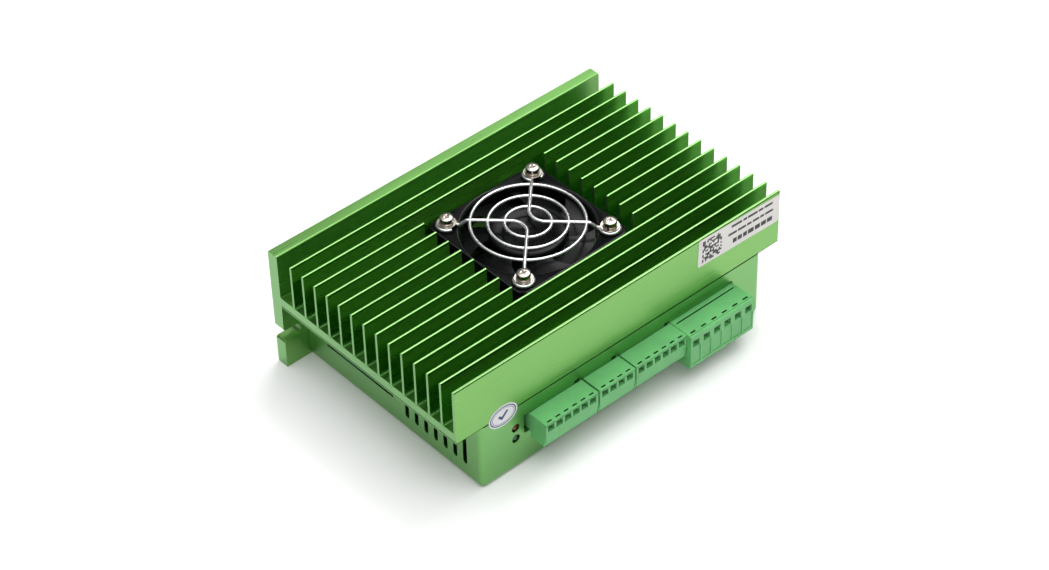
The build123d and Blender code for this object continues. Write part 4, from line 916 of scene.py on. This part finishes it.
def build_label():
    C, ANG = (130.0, 44.4), -1.7
    bm = bmesh.new()
    flat_on_side(bm, rounded_rect(C[0] - 19.75, C[0] + 19.75, C[1] - 5.85, C[1] + 5.85, 1.0), WIDTH + 0.005, 0.10, ANG, C)
    lab = link("model_label_paper", from_bm(bm, "model_label_paper"), "paper", "housing", "model_label")
    # generic print: a dotted square and plain bars, no lettering
    bm = bmesh.new()
    rnd = random.Random(11)
    n, s = 13, 0.72
    y0, z0 = C[0] - 17.8, C[1] - n * s / 2
    for i in range(n):
        for j in range(n):
            if rnd.random() < 0.56:
                a, b = y0 + i * s, z0 + j * s
                flat_on_side(bm, [(a, b), (a + s * 0.96, b), (a + s * 0.96, b + s * 0.96), (a, b + s * 0.96)], WIDTH + 0.103, 0.012, ANG, C)
    for row, (zc, h, spans) in enumerate((
            (C[1] - 2.8, 1.9, ((-2.9, -1.0), (-0.5, 1.5), (2.1, 4.0), (4.5, 7.3), (7.9, 10.4), (10.9, 13.4), (13.9, 16.4))),
            (C[1] + 0.8, 1.0, ((-5.3, -1.2), (-0.7, 3.3), (3.8, 6.0), (6.6, 9.8), (10.3, 12.2), (12.7, 16.6))),
            (C[1] + 4.0, 1.0, ((-3.9, 1.2), (1.8, 3.6), (4.1, 8.8), (9.3, 11.6), (12.2, 16.2))))):
        for a, b in spans:
            flat_on_side(bm, [(C[0] + a, zc - h / 2), (C[0] + b, zc - h / 2), (C[0] + b, zc + h / 2), (C[0] + a, zc + h / 2)], WIDTH + 0.103, 0.012, ANG, C)
    link("model_label_print", from_bm(bm, "model_label_print"), "ink", "housing", slot="sticker_white")
    # oval check sticker over the joint
    E = (20.4, 28.1)

    def oval(a, b, n=72):
        return [(E[0] + a * math.cos(2 * math.pi * i / n), E[1] + b * math.sin(2 * math.pi * i / n)) for i in range(n)]
    bm = bmesh.new()
    bm_prism(bm, oval(6.28, 4.58), WIDTH + 0.005, WIDTH + 0.105, "x")
    link("qc_sticker_paper", from_bm(bm, "qc_sticker_paper"), "paper_round", "housing", "qc_sticker")
    bm = bmesh.new()
    # thin ring
    for o, i_ in ((oval(5.75, 4.05), oval(5.3, 3.62)), (oval(4.9, 3.24), oval(4.7, 3.05))):
        lo_o = [bm.verts.new(V(WIDTH + 0.103, y, z)) for y, z in o]
        lo_i = [bm.verts.new(V(WIDTH + 0.103, y, z)) for y, z in i_]
        hi_o = [bm.verts.new(V(WIDTH + 0.116, y, z)) for y, z in o]
        hi_i = [bm.verts.new(V(WIDTH + 0.116, y, z)) for y, z in i_]
        m = len(o)
        for k in range(m):
            j = (k + 1) % m
            bm.faces.new((hi_o[k], hi_o[j], hi_i[j], hi_i[k]))
            bm.faces.new((lo_o[j], lo_o[k], lo_i[k], lo_i[j]))
            bm.faces.new((lo_o[k], lo_o[j], hi_o[j], hi_o[k]))
            bm.faces.new((lo_i[j], lo_i[k], hi_i[k], hi_i[j]))
    # a tick
    tick = [(-2.3, 0.25), (-1.55, 0.95), (-0.55, 0.0), (1.7, 2.1), (2.3, 1.4), (-0.5, -1.45)]
    bm_prism(bm, [(E[0] + a, E[1] - 0.2 + b) for a, b in tick], WIDTH + 0.103, WIDTH + 0.116, "x")
    link("qc_sticker_print", from_bm(bm, "qc_sticker_print"), "ink_blue", "housing", slot="sticker_round")


build_label()


# -------------------------------------------------------- floor and lights
def build_stage():
    me = bpy.data.meshes.new("floor")
    s = 3.0
    bm = bmesh.new()
    n = 12
    grid = [[bm.verts.new((-s + 2 * s * i / n, -s + 2 * s * j / n, -0.0001)) for j in range(n + 1)] for i in range(n + 1)]
    for i in range(n):
        for j in range(n):
            bm.faces.new((grid[i][j], grid[i + 1][j], grid[i + 1][j + 1], grid[i][j + 1]))
    bm.to_mesh(me)
    bm.free()
    floor = bpy.data.objects.new("floor", me)
    bpy.context.scene.collection.objects.link(floor)
    m = Mat("floor_pale")
    m.set(Metallic=0.0, Roughness=0.9)
    m.set(Emission_Color=(1, 1, 1, 1), Emission_Strength=0.08)
    m.wire("Base Color", m.ramp(m.noise(2, 2), [(0.3, (0.83, 0.83, 0.83)), (0.7, (0.86, 0.86, 0.86))]))
    floor.data.materials.append(m.m)


def area(name, loc, target, size, power, color=(1, 1, 1), size_y=None):
    li = bpy.data.lights.new(name, "AREA")
    li.energy = power
    li.color = color
    li.shape = "RECTANGLE"
    li.size = size
    li.size_y = size_y or size
    ob = bpy.data.objects.new(name, li)
    bpy.context.scene.collection.objects.link(ob)
    ob.location = loc
    d = Vector(target) - Vector(loc)
    ob.rotation_mode = "QUATERNION"
    ob.rotation_quaternion = d.to_track_quat("-Z", "Y")
    return ob


build_stage()


def studio_world():
    """Soft studio: bright overhead, a darker band round the horizon."""
    w = bpy.data.worlds.new("studio")
    bpy.context.scene.world = w
    w.use_nodes = True
    t = w.node_tree
    co = t.nodes.new("ShaderNodeTexCoord")
    sep = t.nodes.new("ShaderNodeSeparateXYZ")
    t.links.new(co.outputs["Generated"], sep.inputs[0])
    r = t.nodes.new("ShaderNodeValToRGB")
    e = r.color_ramp.elements
    e[0].position, e[0].color = 0.0, (0.14, 0.14, 0.14, 1)
    e[1].position, e[1].color = 1.0, (1.0, 1.0, 1.0, 1)
    for p, v in ((0.30, 0.10), (0.55, 0.18), (0.66, 0.32), (0.80, 0.66)):
        x = e.new(p)
        x.color = (v, v, v, 1)
    t.links.new(sep.outputs["Z"], r.inputs["Fac"])
    bg = t.nodes["Background"]
    t.links.new(r.outputs["Color"], bg.inputs["Color"])
    bg.inputs["Strength"].default_value = 0.9


studio_world()
area("key_top", (0.16, -0.02, 1.25), (0, 0, 0.03), 1.6, 16.0)
area("rim_soft", (-0.24, 0.64, 0.95), (0, 0, 0.04), 0.85, 6.5, size_y=0.5)
area("fill_camera", (0.90, -0.90, 0.55), (0, 0, 0.02), 1.2, 1.2, size_y=0.8)
